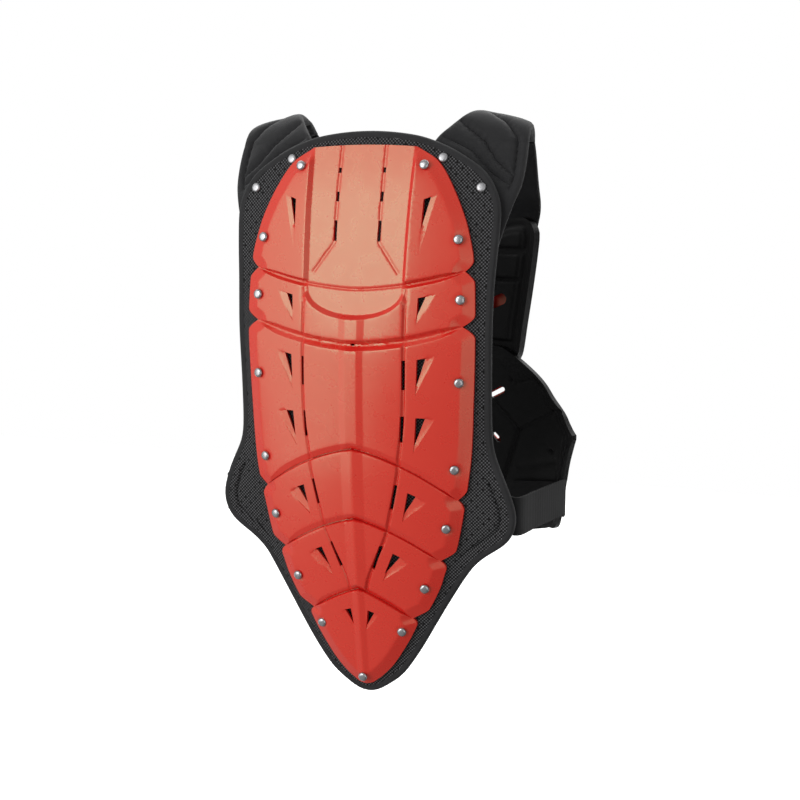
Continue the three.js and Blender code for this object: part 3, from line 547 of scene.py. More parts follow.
def weave(n, pitch, angle, place):
    """Heights of crossed threads in the plane of X and Z of a place, from 0 to 1."""
    turned = n.add("ShaderNodeMapping", {"Vector": place, "Rotation": (0, math.radians(angle), 0)})
    split = n.add("ShaderNodeSeparateXYZ", {"Vector": turned.outputs[0]})
    waves = []
    for axis in ("X", "Z"):
        phase = n.math("MULTIPLY", split.outputs[axis], math.tau / (pitch * MM))
        waves.append(n.math("MULTIPLY_ADD", n.math("SINE", phase), 0.5, 0.5))
    return waves


def mesh_cloth():
    """Raised threads that cross on the slant, with a wider lattice of holes. Its colour is painted light: a
    painted highlight where the threads cross, and painted shade in the gaps and holes.
    """
    made, n = material("mesh_cloth", (0.01, 0.01, 0.011), 0.85, Specular_IOR_Level=0.2)
    flat = n.add("ShaderNodeAttribute", attribute_name="cloth_place").outputs["Vector"]
    u, v = weave(n, 2.6, 45, flat)
    lines = n.math("MAXIMUM", n.math("POWER", u, 5), n.math("POWER", v, 5))
    # Raised dots where the threads cross, which the colour also paints lighter as a painted highlight
    crossing_bumps_and_sheen = n.math("MULTIPLY", n.math("POWER", u, 2), n.math("POWER", v, 2))
    thread_height_and_sheen = n.math("ADD", n.math("MULTIPLY", lines, 0.3), crossing_bumps_and_sheen, clamp=True)
    p, q = weave(n, 8.6, 45, flat)
    hole = n.math("GREATER_THAN", n.math("MULTIPLY", p, q), 0.84)
    open_thread_height_and_sheen = n.math("MULTIPLY", thread_height_and_sheen, n.math("SUBTRACT", 1, hole))
    # Painted light in the base colour: the threads are lighter and brightest at their crossings as a
    # painted highlight, and the gaps and holes are near black as painted shade. The same heights also drive
    # the bump.
    n.wire("Base Color", n.blend(open_thread_height_and_sheen, (0.004, 0.004, 0.004), (0.13, 0.13, 0.135)))
    n.wire("Normal", n.bump(open_thread_height_and_sheen, 0.0004, 0.6))
    return made


def cloth(name, colour, roughness, pitch, sheen, shine=0.2):
    made, n = material(name, colour, roughness, Sheen_Weight=sheen, Sheen_Roughness=0.5,
                       Specular_IOR_Level=shine)
    dark, light = [tuple(share * c for c in colour) for share in (0.8, 1.25)]
    n.wire("Base Color", n.blend(n.noise(30, 3), dark, light))
    n.wire("Normal", n.bump(n.math("ADD", *weave(n, pitch, 0, n.place())), 0.00015, 0.5))
    return made


def steel(name, roughness):
    made, n = material(name, (0.42, 0.42, 0.43), roughness, Metallic=1.0)
    n.wire("Roughness", n.level(n.noise(700, 3), 0.3, 0.7, roughness - 0.06, roughness + 0.06))
    return made


RED_GLOSS = (0.24, 1.0, 0.65, 1)
RED = red_plastic("red_plastic", 0.28, 1.8, 0.655)
RED_INSIDE = red_plastic("red_plastic_front", 0.45, 1.5, 0.66)
MESH = mesh_cloth()
BINDING = cloth("binding_tape", (0.022, 0.022, 0.023), 0.75, 0.8, 0.05)
SHOULDER_CLOTH = cloth("shoulder_cloth", (0.018, 0.018, 0.019), 0.7, 0.6, 0.08)
WEBBING = cloth("webbing", (0.008, 0.008, 0.009), 0.8, 1.2, 0.03)
FOAM = cloth("liner_foam", (0.0027, 0.0027, 0.0029), 0.42, 0.7, 0.0, 0.17)
ELASTIC = cloth("elastic", (0.009, 0.009, 0.0095), 0.8, 1.0, 0.03)
RIVET_STEEL = steel("rivet_steel", 0.26)
SNAP_STEEL = steel("snap_steel", 0.4)


# The fine back plate: lines where its form changes, filled with triangles and lifted to height.

def groove_share(groove, x):
    return np.minimum(np.abs(x) / (groove["half"] * PLATE_HALF), 1)


def groove_line(groove, x):
    """Height of the line between two sections."""
    t = groove_share(groove, x)
    bow = groove["straight"] * t + (1 - groove["straight"]) * t * t
    return mix(height_at(groove["crown"]), height_at(groove["side"]), bow)


def groove_scale(groove, x):
    """Along the slope the groove is measured square to its line, and it narrows at the side."""
    step = 0.5
    slope = (groove_line(groove, x + step) - groove_line(groove, x - step)) / (2 * step)
    return np.hypot(1, slope) * (1 - 0.5 * smoothstep(groove_share(groove, x), 0.75, 1))


def plate_half(z):
    """Half-width of the plate with its notches."""
    half = PLATE_HALF * along(PLATE_FLANK, "half", share_at(z))
    for groove in GROOVES:
        u = np.clip(np.abs(z - height_at(groove["side"])) / CORNER_CUT, 0, 1)
        notch = np.minimum(half, groove["half"] * PLATE_HALF)
        half = np.where(u < 1, mix(notch, half, 1 - (1 - u) ** NOTCH_ROUND), half)
    return half


def plate_outline():
    """The right half of the outline, from the top centre to the tip."""
    corner_x = PLATE_FLANK["half"][-1] * PLATE_HALF
    low_z, top_z = height_at(PLATE_FLANK["at"][0]), height_at(PLATE_FLANK["at"][-1])
    top = [(x, mix(height_at(1), top_z, (x / corner_x) ** 2)) for x in np.linspace(0, corner_x, 24)]
    levels = set(np.arange(low_z, top_z, 2.2).tolist())
    levels |= {height_at(g["side"]) for g in GROOVES}
    side = [(float(plate_half(np.array(z))), z) for z in sorted(levels, reverse=True)]
    half = side[-1][0]
    tip = [(half * f, mix(height_at(0), side[-1][1], f * f)) for f in (0.75, 0.5, 0.25, 0)]
    return np.array(top + side + tip)


def spaced(line, step):
    """The line again, with points about step apart and its corners kept."""
    line = np.asarray(line, float)
    made = [line[:1]]
    for a, b in zip(line[:-1], line[1:]):
        count = max(1, int(round(np.linalg.norm(b - a) / step)))
        made.append(a + (b - a) * (np.arange(1, count + 1) / count)[:, None])
    return np.concatenate(made)


def distance(points, line):
    """How far each point is from a line of points."""
    a, b = line[:-1], line[1:]
    d = b - a
    size = np.maximum((d * d).sum(1), 1e-9)
    best = np.full(len(points), np.inf)
    for start in range(0, len(points), 2000):
        p = points[start:start + 2000, None]
        t = np.clip(((p - a) * d).sum(2) / size, 0, 1)
        best[start:start + 2000] = np.linalg.norm(p - a - t[..., None] * d, axis=2).min(1)
    return best


def inside(points, polygon):
    """Whether each point lies in a polygon."""
    a, b = polygon, np.roll(polygon, -1, axis=0)
    found = np.zeros(len(points), bool)
    for (ax, az), (bx, bz) in zip(a, b):
        if az == bz:
            continue
        crossing = (points[:, 1] > az) != (points[:, 1] > bz)
        found ^= crossing & (points[:, 0] < ax + (points[:, 1] - az) * (bx - ax) / (bz - az))
    return found


def grid_distance(x, z, line):
    """How far each point of a grid is from a line."""
    return distance(pairs(x, z).reshape(-1, 2), line).reshape(x.shape)


def beside(line, *steps):
    """Copies of a line of points, moved square to it, towards the plate's inside if positive."""
    return [line + step * square(np.gradient(line, axis=0)) for step in steps]


def offset(line, by):
    """A line moved square to itself, without the parts that fold over."""
    moved = beside(line, by)[0]
    keep = (distance(moved, line) > abs(by) - 0.05) & (moved[:, 0] > -0.01)
    return moved[keep]


OUTLINE = spaced(plate_outline(), 2.4)
LENS_TOP = height_at(GROOVES[0]["crown"])


def panel_outline():
    """The right half of the sunken panel's edge, from the plate's top to the lens's lowest point."""
    z = np.linspace(height_at(1.02), LENS_TOP, 50)
    half = along(PANEL_SIDE, "half", share_at(z))
    turn = np.linspace(0, math.pi / 2, 24)[1:]
    lens = pairs(half[-1] * np.cos(turn), LENS_TOP - LENS_DEPTH * np.sin(turn))
    return np.concatenate([pairs(half, z), lens])


PANEL = panel_outline()


def corner(pair):
    return np.array((pair[0] * PLATE_HALF, height_at(pair[1])))


def slot_corners(slot):
    top, low = corner(slot[0]), corner(slot[1])
    side = square(top - low) * SLOT_WIDTH / 2
    return np.array([top + side, low + side, low - side, top - side])


def signed(points, polygon):
    """Distance to a polygon's edge, positive inside it."""
    loop = np.concatenate([polygon, polygon[:1]])
    return np.where(inside(points, polygon), 1, -1) * distance(points, loop)


# The panel's edge, closed far beyond the middle line
PANEL_LOOP = np.concatenate([PANEL, [(0, PANEL[-1, 1]), (-200, PANEL[-1, 1]), (-200, PANEL[0, 1])]])
PANEL_LINES = spaced([corner(pair) for pair in PANEL_LINE], 3)


def keel_runs(section, ridge):
    """Half-widths of a section's keel at its top and its foot, which stays inside the ridge."""
    _, flat, foot = np.array(KEELS).T[:, section]
    foot = np.minimum(foot, ridge * 0.9 + 4)
    return np.minimum(flat, foot * 0.6), foot


def plate_rise(p):
    """Height of the plate's face above the flanges, at points in the plane of X and Z."""
    x, z = p[:, 0], p[:, 1]
    cut = ramp(distance(p, OUTLINE), 0, BEVEL_RUN, BEVEL_SOFT)
    section = np.zeros(len(p), int)
    for groove in GROOVES:
        d = (z - groove_line(groove, x)) / groove_scale(groove, x)
        section += d < 0
        floor, lap = groove["floor"], groove["lap"]
        up = ramp(d, floor, floor + groove["above"], WALL_SOFT)
        down = ramp(-d, floor, floor + groove["below"], LAP_SOFT)
        line = mix(lap, 1, np.where(d > 0, up, down))
        if lap > 0:
            line = line - LAP_GAP * (1 - ramp(np.abs(d), 0.3, 0.7, 0.1))
        cut = np.minimum(cut, line)
    panel_edge = along(PANEL_SIDE, "half", share_at(z))
    cheek_run = plate_half(z) - BEVEL_RUN - panel_edge
    cheek = np.clip(1 - (x - panel_edge - PANEL_WALL) / cheek_run, 0, 1)
    face = SECTION_RISE + np.where(section == 0, CHEEK_RISE * cheek, 0)
    ridge = along(RIDGE, "half", share_at(z))
    walls = [ridge + wall for wall in CHANNEL_WALLS]
    beyond = ramp(x, walls[0], walls[1], CHANNEL_SOFT)
    channel = beyond * (1 - ramp(x, walls[2], walls[3], CHANNEL_SOFT))
    last = len(GROOVES)
    banded = (section > 0) & (section < last)
    face += np.where(banded, BAND_RISE * (1 - beyond) - CHANNEL_DEPTH * channel, 0)
    face += np.where(section == last, BAND_RISE, 0)
    flat, foot = keel_runs(section, ridge)
    face += np.array(KEELS)[section, 0] * (1 - ramp(x, flat, foot, WALL_SOFT))
    rise = face * cut
    floor = back_y(PANEL_LEVEL_AT + 0 * x, z) - back_y(x, z)
    joint = (z - groove_line(GROOVES[0], x)) / groove_scale(GROOVES[0], x)
    line = distance(p, PANEL_LINES)
    sinks = JOINT_DEPTH * (1 - ramp(np.abs(joint), 0.3, JOINT_HALF, 0.2))
    floor = floor - np.maximum(sinks, LINE_DEPTH * (1 - ramp(line, LINE_HALF - 0.5, LINE_HALF, 0.1)))
    rise = mix(rise, floor, ramp(signed(p, PANEL_LOOP), -PANEL_WALL, 0, WALL_SOFT))
    for vent in VENTS:
        out, hole_in, hole_out, hole_tip, tip = [corner(pair) for pair in vent]
        near = np.linalg.norm(p - out, axis=1) < VENT_NEAR
        depth = np.clip(signed(p[near], np.array([out, hole_in, tip])) / VENT_WALL, 0, 1)
        side = square(hole_out - hole_tip)
        reach = (out - hole_out) @ side
        f = np.clip(((p[near] - hole_out) @ side) / reach, 0, 1)
        low = np.maximum(rise[near] - SCOOP_SLOPE * reach * (1 - f), -PLATE_WALL + 0.6)
        rise[near] = mix(rise[near], low, depth)
    for rivet_x, at, _ in RIVETS:
        r = np.linalg.norm(p - corner((rivet_x, at)), axis=1)
        rise -= DISH_DEPTH * (1 - ramp(r, DISH_FLAT, RIM_DISH, 0.3))
    return rise


def plate_lines():
    """Every line where the plate's face changes, as lists of points."""
    lines = [OUTLINE]
    lines += [offset(OUTLINE, by) for by in (BEVEL_SOFT, BEVEL_RUN - BEVEL_SOFT, BEVEL_RUN + BEVEL_SOFT)]
    for groove in GROOVES:
        x = np.arange(0, groove["half"] * PLATE_HALF + 8, 2.6)
        middle, scale = groove_line(groove, x), groove_scale(groove, x)
        floor = groove["floor"]
        low, top = -floor - groove["below"], floor + groove["above"]
        steps = [low - LAP_SOFT, low + LAP_SOFT, -floor, floor, top - WALL_SOFT, top + WALL_SOFT]
        if groove["lap"] > 0:
            steps += [-0.75, 0.75]
        lines += [pairs(x, middle + by * scale) for by in steps]
    fine = spaced(PANEL, 2.6)
    lines += [offset(fine, wall + by) for wall in (-PANEL_WALL, 0) for by in (-WALL_SOFT, WALL_SOFT)]
    x = np.arange(0, PANEL[0, 0], 3.0)
    lines += beside(pairs(x, groove_line(GROOVES[0], x)), -JOINT_HALF, -0.3, 0.3, JOINT_HALF)
    lines += beside(PANEL_LINES, -LINE_HALF - 0.1, 0.6 - LINE_HALF, 0.4, LINE_HALF - 0.6, LINE_HALF + 0.1)
    z = np.arange(height_at(0.09), height_at(0.727), 3.0)
    ridge = along(RIDGE, "half", share_at(z))
    lines += [pairs(ridge + wall + by, z) for wall in CHANNEL_WALLS for by in (-CHANNEL_SOFT, CHANNEL_SOFT)]
    heights = [height_at(at) for at in (*(groove["crown"] for groove in GROOVES), -0.02)]
    for section, (top, low) in enumerate(zip(heights, heights[1:]), 1):
        z = np.linspace(top, low, 24)
        for edge in keel_runs(section, along(RIDGE, "half", share_at(z))):
            lines += [pairs(edge - WALL_SOFT, z), pairs(edge + WALL_SOFT, z)]
    turn = np.linspace(0, math.tau, 25)
    circle = pairs(np.cos(turn), np.sin(turn))
    for x, at, _ in RIVETS:
        lines += [corner((x, at)) + radius * circle for radius in (DISH_FLAT, RIM_DISH)]
    return lines


def plate_holes():
    """Outlines of everything that is cut through."""
    holes = [np.array([corner(pair) for pair in vent[1:4]]) for vent in VENTS]
    holes += [slot_corners(slot) for slot in SLOTS]
    drain = np.array(((-1, 1), (1, 1), (1, -1), (-1, -1))) * DRAIN_HALF
    return holes + [drain + (0, height_at(DRAIN_AT))]


def plate_triangles():
    """Points and triangles of the right half, in the plane of X and Z."""
    points, edges = [], []

    def add_line(line, step):
        start = len(points)
        points.extend(Vector(p) for p in spaced(line, step))
        edges.extend((k, k + 1) for k in range(start, len(points) - 1))

    def add_loop(corners):
        add_line(np.concatenate([corners, corners[:1]]), 4)

    add_line([(0, height_at(1.03)), (0, height_at(-0.02))], 4)
    for line in plate_lines():
        line = line[line[:, 0] > -0.01]
        jumps = np.flatnonzero(np.linalg.norm(np.diff(line, axis=0), axis=1) > 14)
        for part in np.split(line, jumps + 1):
            if len(part) > 1:
                add_line(part, 5)
    for hole in plate_holes():
        add_loop(hole)
    for vent in VENTS:
        whole = np.array([corner(vent[k]) for k in (0, 1, 4)])
        inward = whole.mean(0) - whole
        add_loop(whole)
        add_loop(whole + inward / np.linalg.norm(inward, axis=1)[:, None] * 2 * VENT_WALL)
    tree = KDTree(len(points))
    for k, p in enumerate(points):
        tree.insert((*p, 0), k)
    tree.balance()
    notches = np.array([(g["half"] * PLATE_HALF, height_at(g["side"])) for g in GROOVES])
    for step, at_notch in ((1.5, True), (3, False)):
        for k, z in enumerate(np.arange(height_at(-0.01), height_at(1.01), step * 0.87)):
            for x in np.arange(step * (0.5 + 0.5 * (k % 2)), PLATE_HALF * 1.03, step):
                near = np.abs(notches - (x, z)).max(1).min() < NOTCH_REACH
                if near == at_notch and tree.find((x, z, 0))[2] > 0.45 * step:
                    points.append(Vector((x, z)))
    verts, _, faces, *_ = delaunay_2d_cdt(points, edges, [], 0, 1e-4)
    verts, faces = np.array(verts), np.array(faces)
    centre = verts[faces].mean(1)
    loop = np.concatenate([OUTLINE, [(-1, OUTLINE[-1, 1]), (-1, OUTLINE[0, 1])]])
    keep = inside(centre, loop) & (centre[:, 0] > 0)
    for hole in plate_holes():
        keep &= ~inside(centre, hole)
    used, index = np.unique(faces[keep], return_inverse=True)
    return verts[used], index.reshape(-1, 3)


def back_plate():
    flat, faces = plate_triangles()
    n = len(flat)
    x, z = flat.T
    rise = plate_rise(flat)
    y = back_y(x, z)
    outer = np.stack([x, y + rise, z], -1)
    inner = np.stack([x, y + np.minimum(rise, rise * 0.5 + 2) - PLATE_WALL, z], -1)
    side = np.sort(np.concatenate([faces[:, (0, 1)], faces[:, (1, 2)], faces[:, (2, 0)]]), axis=1)
    edges, count = np.unique(side, axis=0, return_counts=True)
    rim = edges[count == 1]
    rim = rim[~(x[rim] < 1e-3).all(1)]
    walls = np.concatenate([rim, rim[:, ::-1] + n], axis=1)
    points = both(outer, inner)
    all_faces = []
    for start in (0, 2 * n):
        for part in (faces, faces[:, ::-1] + n, walls):
            all_faces += (part + start).tolist()
    shell = piece("back_shell", both(points, points * (-1, 1, 1)), all_faces, RED, "moulded_plastic",
                  "back_plate")
    even = shell.modifiers.new("even_shading", "WEIGHTED_NORMAL")
    even.keep_sharp = True
    even.weight = 100
    apply_modifiers(shell)


# The back pad and its binding

def pad_outline(inset, count=260):
    """The pad's outline as an even loop, moved in from the binding's outer edge."""
    low_at, top_at = PAD_FLANK["at"][0], PAD_FLANK["at"][-1]
    tip_x, corner_x = PAD_FLANK["half"][0] * PLATE_HALF, PAD_FLANK["half"][-1] * PLATE_HALF

    def cap_line(half, end_at, side_at, shares):
        """A curve from the middle line out to the side, or back."""
        end, side = height_at(end_at), height_at(side_at)
        return [(f * half, mix(end, side, f * f)) for f in shares]

    top = cap_line(corner_x, PAD_TOP_AT, top_at, np.linspace(0, 1, 12))
    side = [(float(pad_half(z)), z) for z in height_at(np.linspace(top_at, low_at, 160))[1:-1]]
    tip = cap_line(tip_x, PAD_TIP_AT, low_at, np.linspace(1, 0, 6))
    right = np.array(top + side + tip)
    loop = np.concatenate([right, right[1:-1][::-1] * (-1, 1), right[:1]])
    length = np.concatenate([[0], np.cumsum(np.linalg.norm(np.diff(loop, axis=0), axis=1))])
    at = np.linspace(0, length[-1], count, endpoint=False)
    loop = np.stack([np.interp(at, length, loop[:, k]) for k in (0, 1)], -1)
    for _ in range(3):
        loop = 0.5 * loop + 0.25 * (np.roll(loop, 1, 0) + np.roll(loop, -1, 0))
    return loop + inset * square(np.roll(loop, -1, 0) - np.roll(loop, 1, 0))


def back_pad():
    """A grid that follows the outline in rings, full in the middle and thin at the edge."""
    outline = pad_outline(BINDING_WIDTH + 0.05)
    middle = outline * (0.02, 0.97) + (0, 0.03 * height_at(0.5))
    rings = np.array([mix(middle, outline, share) for share in 1 - np.linspace(0, 1, 90) ** 1.4])
    x, z = rings[..., 0], rings[..., 1]
    edge = grid_distance(x, z, np.concatenate([outline, outline[:1]]))
    at = share_at(z)
    hips = smoothstep(at, 0.25, 0.29) * (1 - smoothstep(at, 0.4, 0.43))
    crease = HIP_SEAM_DEPTH * hips * np.exp(-((edge - HIP_SEAM_INSET) / 1.5) ** 2)
    outer = np.stack([x, pad_outer_y(x, z) - crease, z], -1)
    inner = np.stack([x, pad_inner_y(x, z), z], -1)
    rows, cols = x.shape
    n = rows * cols
    rim = np.arange(cols)
    faces = [grid_faces(rows, cols, 0, True), grid_faces(rows, cols, n, True)[:, ::-1], band(rim, rim + n)]
    faces = np.concatenate(faces).tolist()
    faces += [list(range(n - cols, n)), list(range(2 * n - cols, 2 * n))[::-1]]
    pad = piece("back_mesh_pad", both(outer, inner), faces, MESH, "mesh_pad", "back_pad", 60)
    lay_cloth(pad)


def lay_cloth(pad):
    """Stores for each point how far over the cloth it lies from the middle line, and its height."""
    points = np.array([v.co for v in pad.data.vertices]) / MM
    steps = np.arange(176.0)
    laid = np.zeros(points.shape)
    laid[:, 2] = points[:, 2] * MM
    rows = np.round(points[:, 2] / CLOTH_ROW).astype(int)
    for row in np.unique(rows):
        here = rows == row
        y = pad_outer_y(steps, row * CLOTH_ROW + 0 * steps)
        run = np.concatenate([[0], np.cumsum(np.hypot(1, np.diff(y)))])
        x = points[here, 0]
        laid[here, 0] = np.sign(x) * np.interp(np.abs(x), steps, run) * MM
    place = pad.data.attributes.new("cloth_place", "FLOAT_VECTOR", "POINT")
    place.data.foreach_set("vector", laid.ravel())


def back_binding():
    """A tape folded round the pad's edge, half round outside."""
    outer, inner = pad_outline(0), pad_outline(BINDING_WIDTH)
    middle = pad_outer_y(inner[:, 0], inner[:, 1]) - PAD_EDGE / 2
    turns = np.linspace(-math.pi / 2, math.pi / 2, 9)
    section = [(0, -0.93), *((0.55 + 0.45 * math.cos(t), math.sin(t)) for t in turns), (0, 0.93)]
    stations = []
    for share, lift in section:
        flat = mix(inner, outer, share)
        stations.append(np.stack([flat[:, 0], middle + lift * BINDING_THICK / 2, flat[:, 1]], -1))
    grid = np.array(stations)
    rows, cols = grid.shape[:2]
    first = np.arange(cols)
    faces = np.concatenate([grid_faces(rows, cols, 0, True), band(first, first + (rows - 1) * cols)])
    piece("back_edge_tape", grid.reshape(-1, 3), faces.tolist(), BINDING, "binding", "back_binding", 60)


# Rivets and snaps

def cap_mesh(name, look, flat):
    """A domed cap on its underside, one mesh for every copy."""
    turns, rings = 32, 8
    profile = [(1, 0), (1, CAP_RIM)]
    for k in range(1, rings):
        a = k / rings * math.pi / 2
        profile.append((math.cos(a) ** flat, CAP_RIM + (1 - CAP_RIM) * math.sin(a)))
    turn = math.tau * np.arange(turns) / turns
    points = [(0, 0, 0)]
    for r, h in profile:
        points += [(x, y, h * CAP_HEIGHT) for x, y in r * CAP_RADIUS * pairs(np.cos(turn), np.sin(turn))]
    points.append((0, 0, CAP_HEIGHT))
    faces = [[0, 1 + (k + 1) % turns, 1 + k] for k in range(turns)]
    faces += grid_faces(len(profile), turns, 1, True)[:, ::-1].tolist()
    start = 1 + (len(profile) - 1) * turns
    faces += [[start + k, start + (k + 1) % turns, len(points) - 1] for k in range(turns)]
    return smooth_mesh(name, points, faces, look, 60)


def cap(mesh, name, slot, node, at, normal):
    thing = add_object(name, mesh)
    turn = Vector((0, 0, 1)).rotation_difference(Vector(normal)).to_matrix().to_4x4()
    thing.matrix_world = Matrix.Translation(Vector(at) * MM) @ turn
    dress(thing, slot, node)


def back_seat(x, z, rise):
    step = CAP_RADIUS
    slope_x = (back_y(x + step, z) - back_y(x - step, z)) / (2 * step)
    slope_z = (back_y(x, z + step) - back_y(x, z - step)) / (2 * step)
    normal = np.array((-slope_x, 1, -slope_z))
    normal /= np.linalg.norm(normal)
    return np.array((x, float(back_y(x, z)) + rise, z)) + GAP * normal, normal


def fasteners():
    rivet, snap = cap_mesh("rivet_cap", RIVET_STEEL, 0.6), cap_mesh("snap_cap", SNAP_STEEL, 0.5)
    seats = [(sign * x, at, SECTION_RISE + CHEEK_RISE * cheek) for x, at, cheek in RIVETS for sign in SIDES]
    seats.append((0, TIP_RIVET_AT, SECTION_RISE + BAND_RISE + KEELS[-1][0]))
    for k, (x, at, rise) in enumerate(seats, 1):
        place, normal = back_seat(x * PLATE_HALF, height_at(at), rise)
        cap(rivet, f"rivet_{k:02d}", "rivet_steel", f"back_rivet_{k:02d}", place, normal)
    seats = [(sign * x, at) for x, at in SNAPS for sign in SIDES]
    for k, (x, at) in enumerate(seats, 1):
        place, normal = back_seat(x * PLATE_HALF, height_at(at), -PLATE_WALL - SEAT)
        cap(snap, f"snap_{k}", "snap_steel", f"strap_snap_{k}", place, normal)
    layers = {"chest": CHEST_OUTER + SEAT + FRONT_WALL, "belly": BELLY_FOAM + SEAT + FRONT_WALL}
    seats = [(sign * x * WING_SPAN, at, layers[plate]) for x, at, plate in FRONT_RIVETS for sign in SIDES]
    for k, (x, at, layer) in enumerate(seats, 1):
        place = front_point(x, height_at(at), layer)
        normal = place - front_point(x, height_at(at), 0)
        normal /= np.linalg.norm(normal)
        place = place + GAP * normal
        cap(rivet, f"front_rivet_cap_{k:02d}", "rivet_steel", f"front_rivet_{k:02d}", place, normal)


# Shoulder pads, straps, front and belts

def shoulder_grid(sign, rows, cols):
    """Points in the middle of a shoulder pad."""
    share = np.linspace(0, 1, cols)[None, :]
    columns = [column[:, None] for column in refine(SHOULDER, rows).T]
    x, at, ahead = [mix(neck, arm, share) for neck, arm in zip(columns[:3], columns[3:])]
    x, z = sign * PLATE_HALF * x, height_at(at)
    back = pad_inner_y(x, np.minimum(z, height_at(1))) - (BINDING_THICK - PAD_EDGE) / 2
    return np.stack([x, back - SEAT - SHOULDER_EDGE / 2 - ahead * SHOULDER_REACH, z], -1)


def nearest(points, line):
    """Distance of each point to a line in space, and how far along the line that is."""
    a, b = line[:-1], line[1:]
    d = b - a
    size = np.linalg.norm(d, axis=1)
    start = np.concatenate([[0], np.cumsum(size)])[:-1]
    p = points[:, None]
    t = np.clip(((p - a) * d).sum(2) / (size * size), 0, 1)
    away = np.linalg.norm(p - a - t[..., None] * d, axis=2)
    best = away.argmin(1)
    rows = np.arange(len(points))
    return away[rows, best], start[best] + t[rows, best] * size[best]


def shoulder_pad(sign, name, node):
    """A quilted pad: full between its sewn channels, with puckers beside them."""
    rows, cols = 160, 90
    middle = shoulder_grid(sign, rows, cols)
    last = len(SHOULDER) - 1
    i = np.linspace(0, last, rows)[:, None]
    share = np.linspace(0, 1, cols)[None, :]
    crown = np.clip(1 - (2 * share - 1) ** 4, 0, 1) ** 0.5
    full = smoothstep(i, 0.8, 3.2) * (1 - smoothstep(i, last - 0.5, last)) * crown
    flat = middle.reshape(-1, 3)
    pinch, pucker = np.ones(len(flat)), np.zeros(len(flat))
    for seam in SHOULDER_SEAMS:
        steps = np.linspace(0, len(seam) - 1, 40)
        at_i, at_share = [np.interp(steps, range(len(seam)), column) for column in zip(*seam)]
        row = (at_i / last * (rows - 1)).round().astype(int)
        col = (at_share * (cols - 1)).round().astype(int)
        line = middle[row, col]
        keep = np.concatenate([[True], np.linalg.norm(np.diff(line, axis=0), axis=1) > 0.5])
        away, run = nearest(flat, line[keep])
        pinch = np.minimum(pinch, 1 - 1.3 * np.exp(-(away / 3.4) ** 1.05))
        wave = np.sin(run / 3.1 + 1.7 * np.sin(run / 7.3)) * np.exp(-away / 6) * smoothstep(away, 0.5, 3)
        pucker = np.where(np.abs(wave) > np.abs(pucker), wave, pucker)
    pinch, pucker = pinch.reshape(rows, cols), pucker.reshape(rows, cols)
    thick = SHOULDER_EDGE + (SHOULDER_THICK - SHOULDER_EDGE) * full * pinch + PUCKER * full ** 0.5 * pucker
    down, over = i / last * SHOULDER_LONG, share * SHOULDER_WIDE
    rim = np.minimum(np.minimum(over, SHOULDER_WIDE - over), np.minimum(down, SHOULDER_LONG - down))
    thick *= 0.35 + 0.65 * np.sqrt(1 - (1 - np.clip(rim / 3.5, 0, 1)) ** 2)
    pad = slab(name, middle, thick[..., None], SHOULDER_CLOTH, "shoulder_cloth", node, 70)


def front_strap(sign, name, node):
    start = shoulder_grid(sign, 10, 5)[-1]
    share = np.linspace(0, 1, 7)
    begin = mix(start[0], start[-1], share[:, None]) + (0, 2, 0)
    end_x = sign * mix(STRAP_END[0], STRAP_END[1], share) * CHEST_HALF
    end = front_point(end_x, height_at(STRAP_END[2]), CHEST_OUTER + GAP + STRAP_THICK / 2)
    rows = [mix(begin, end, np.array((drop, forward, drop))) for forward, drop in STRAP_RUN]
    return slab(name, refine(rows, 48), STRAP_THICK, WEBBING, "webbing", node)


def front_loop(edges, half_width):
    """The right half of a front plate's outline, in the plane of X and Z."""
    share = np.linspace(0, 1, 60)
    top, low = [pairs(share * half_width, height_at(along(edges, side, share))) for side in ("top", "low")]
    return np.concatenate([top, low[::-1]])


def chest_layer(x, z):
    """Inner face of the chest liner: stepped blocks inside a bound edge."""
    edge = grid_distance(np.abs(x), z, front_loop(*CHEST_PLAN))
    block = np.zeros(x.shape)
    for top, low in CHEST_BLOCKS:
        block = np.maximum(block, ramp(np.minimum(height_at(top) - z, z - height_at(low)), 0, 1.8, 0.3))
    block = block * ramp(edge, 10, 12, WALL_SOFT) * ramp(np.abs(x), 5, 7, WALL_SOFT)
    step = block * ramp(edge, 16, 18, WALL_SOFT)
    bound = 1 - ramp(edge, 5, 6.5, WALL_SOFT)
    return CHEST_INNER - BLOCK_RISE * block - STEP_RISE * step - BOUND_RISE * bound


def belly_layer(x, z):
    """Inner face of the belly liner: facets between creases, and an edge sewn twice."""
    edge = grid_distance(np.abs(x), z, front_loop(*BELLY_PLAN))
    lift = sum(BELLY_RIB * np.exp(-(edge - inset) ** 2) for inset in BELLY_RIBS)
    for half, deep, soft, line in BELLY_CREASES:
        route = np.array([(share * WING_SPAN, height_at(at)) for share, at in line])
        away = grid_distance(np.abs(x), z, route)
        lift += deep * np.exp(-(away / half) ** 2) + soft * np.exp(-away / CREASE_SOFT)
    return lift


def shell_face(layer):
    """Outer face of a front shell: rounded at its rim, with a channel that runs along it."""
    def face(x, z):
        grid = pairs(x, z)
        edge = grid_distance(x, z, np.concatenate([grid[0], grid[:, -1], grid[-1, ::-1], grid[::-1, 0]]))
        channel = FRONT_CHANNEL * np.exp(-((edge - FRONT_CHANNEL_AT) / FRONT_CHANNEL_HALF) ** 2)
        return layer + FRONT_WALL - FRONT_ROUND * (1 - ramp(edge, 0, FRONT_ROUND_RUN, 1)) - channel
    return face


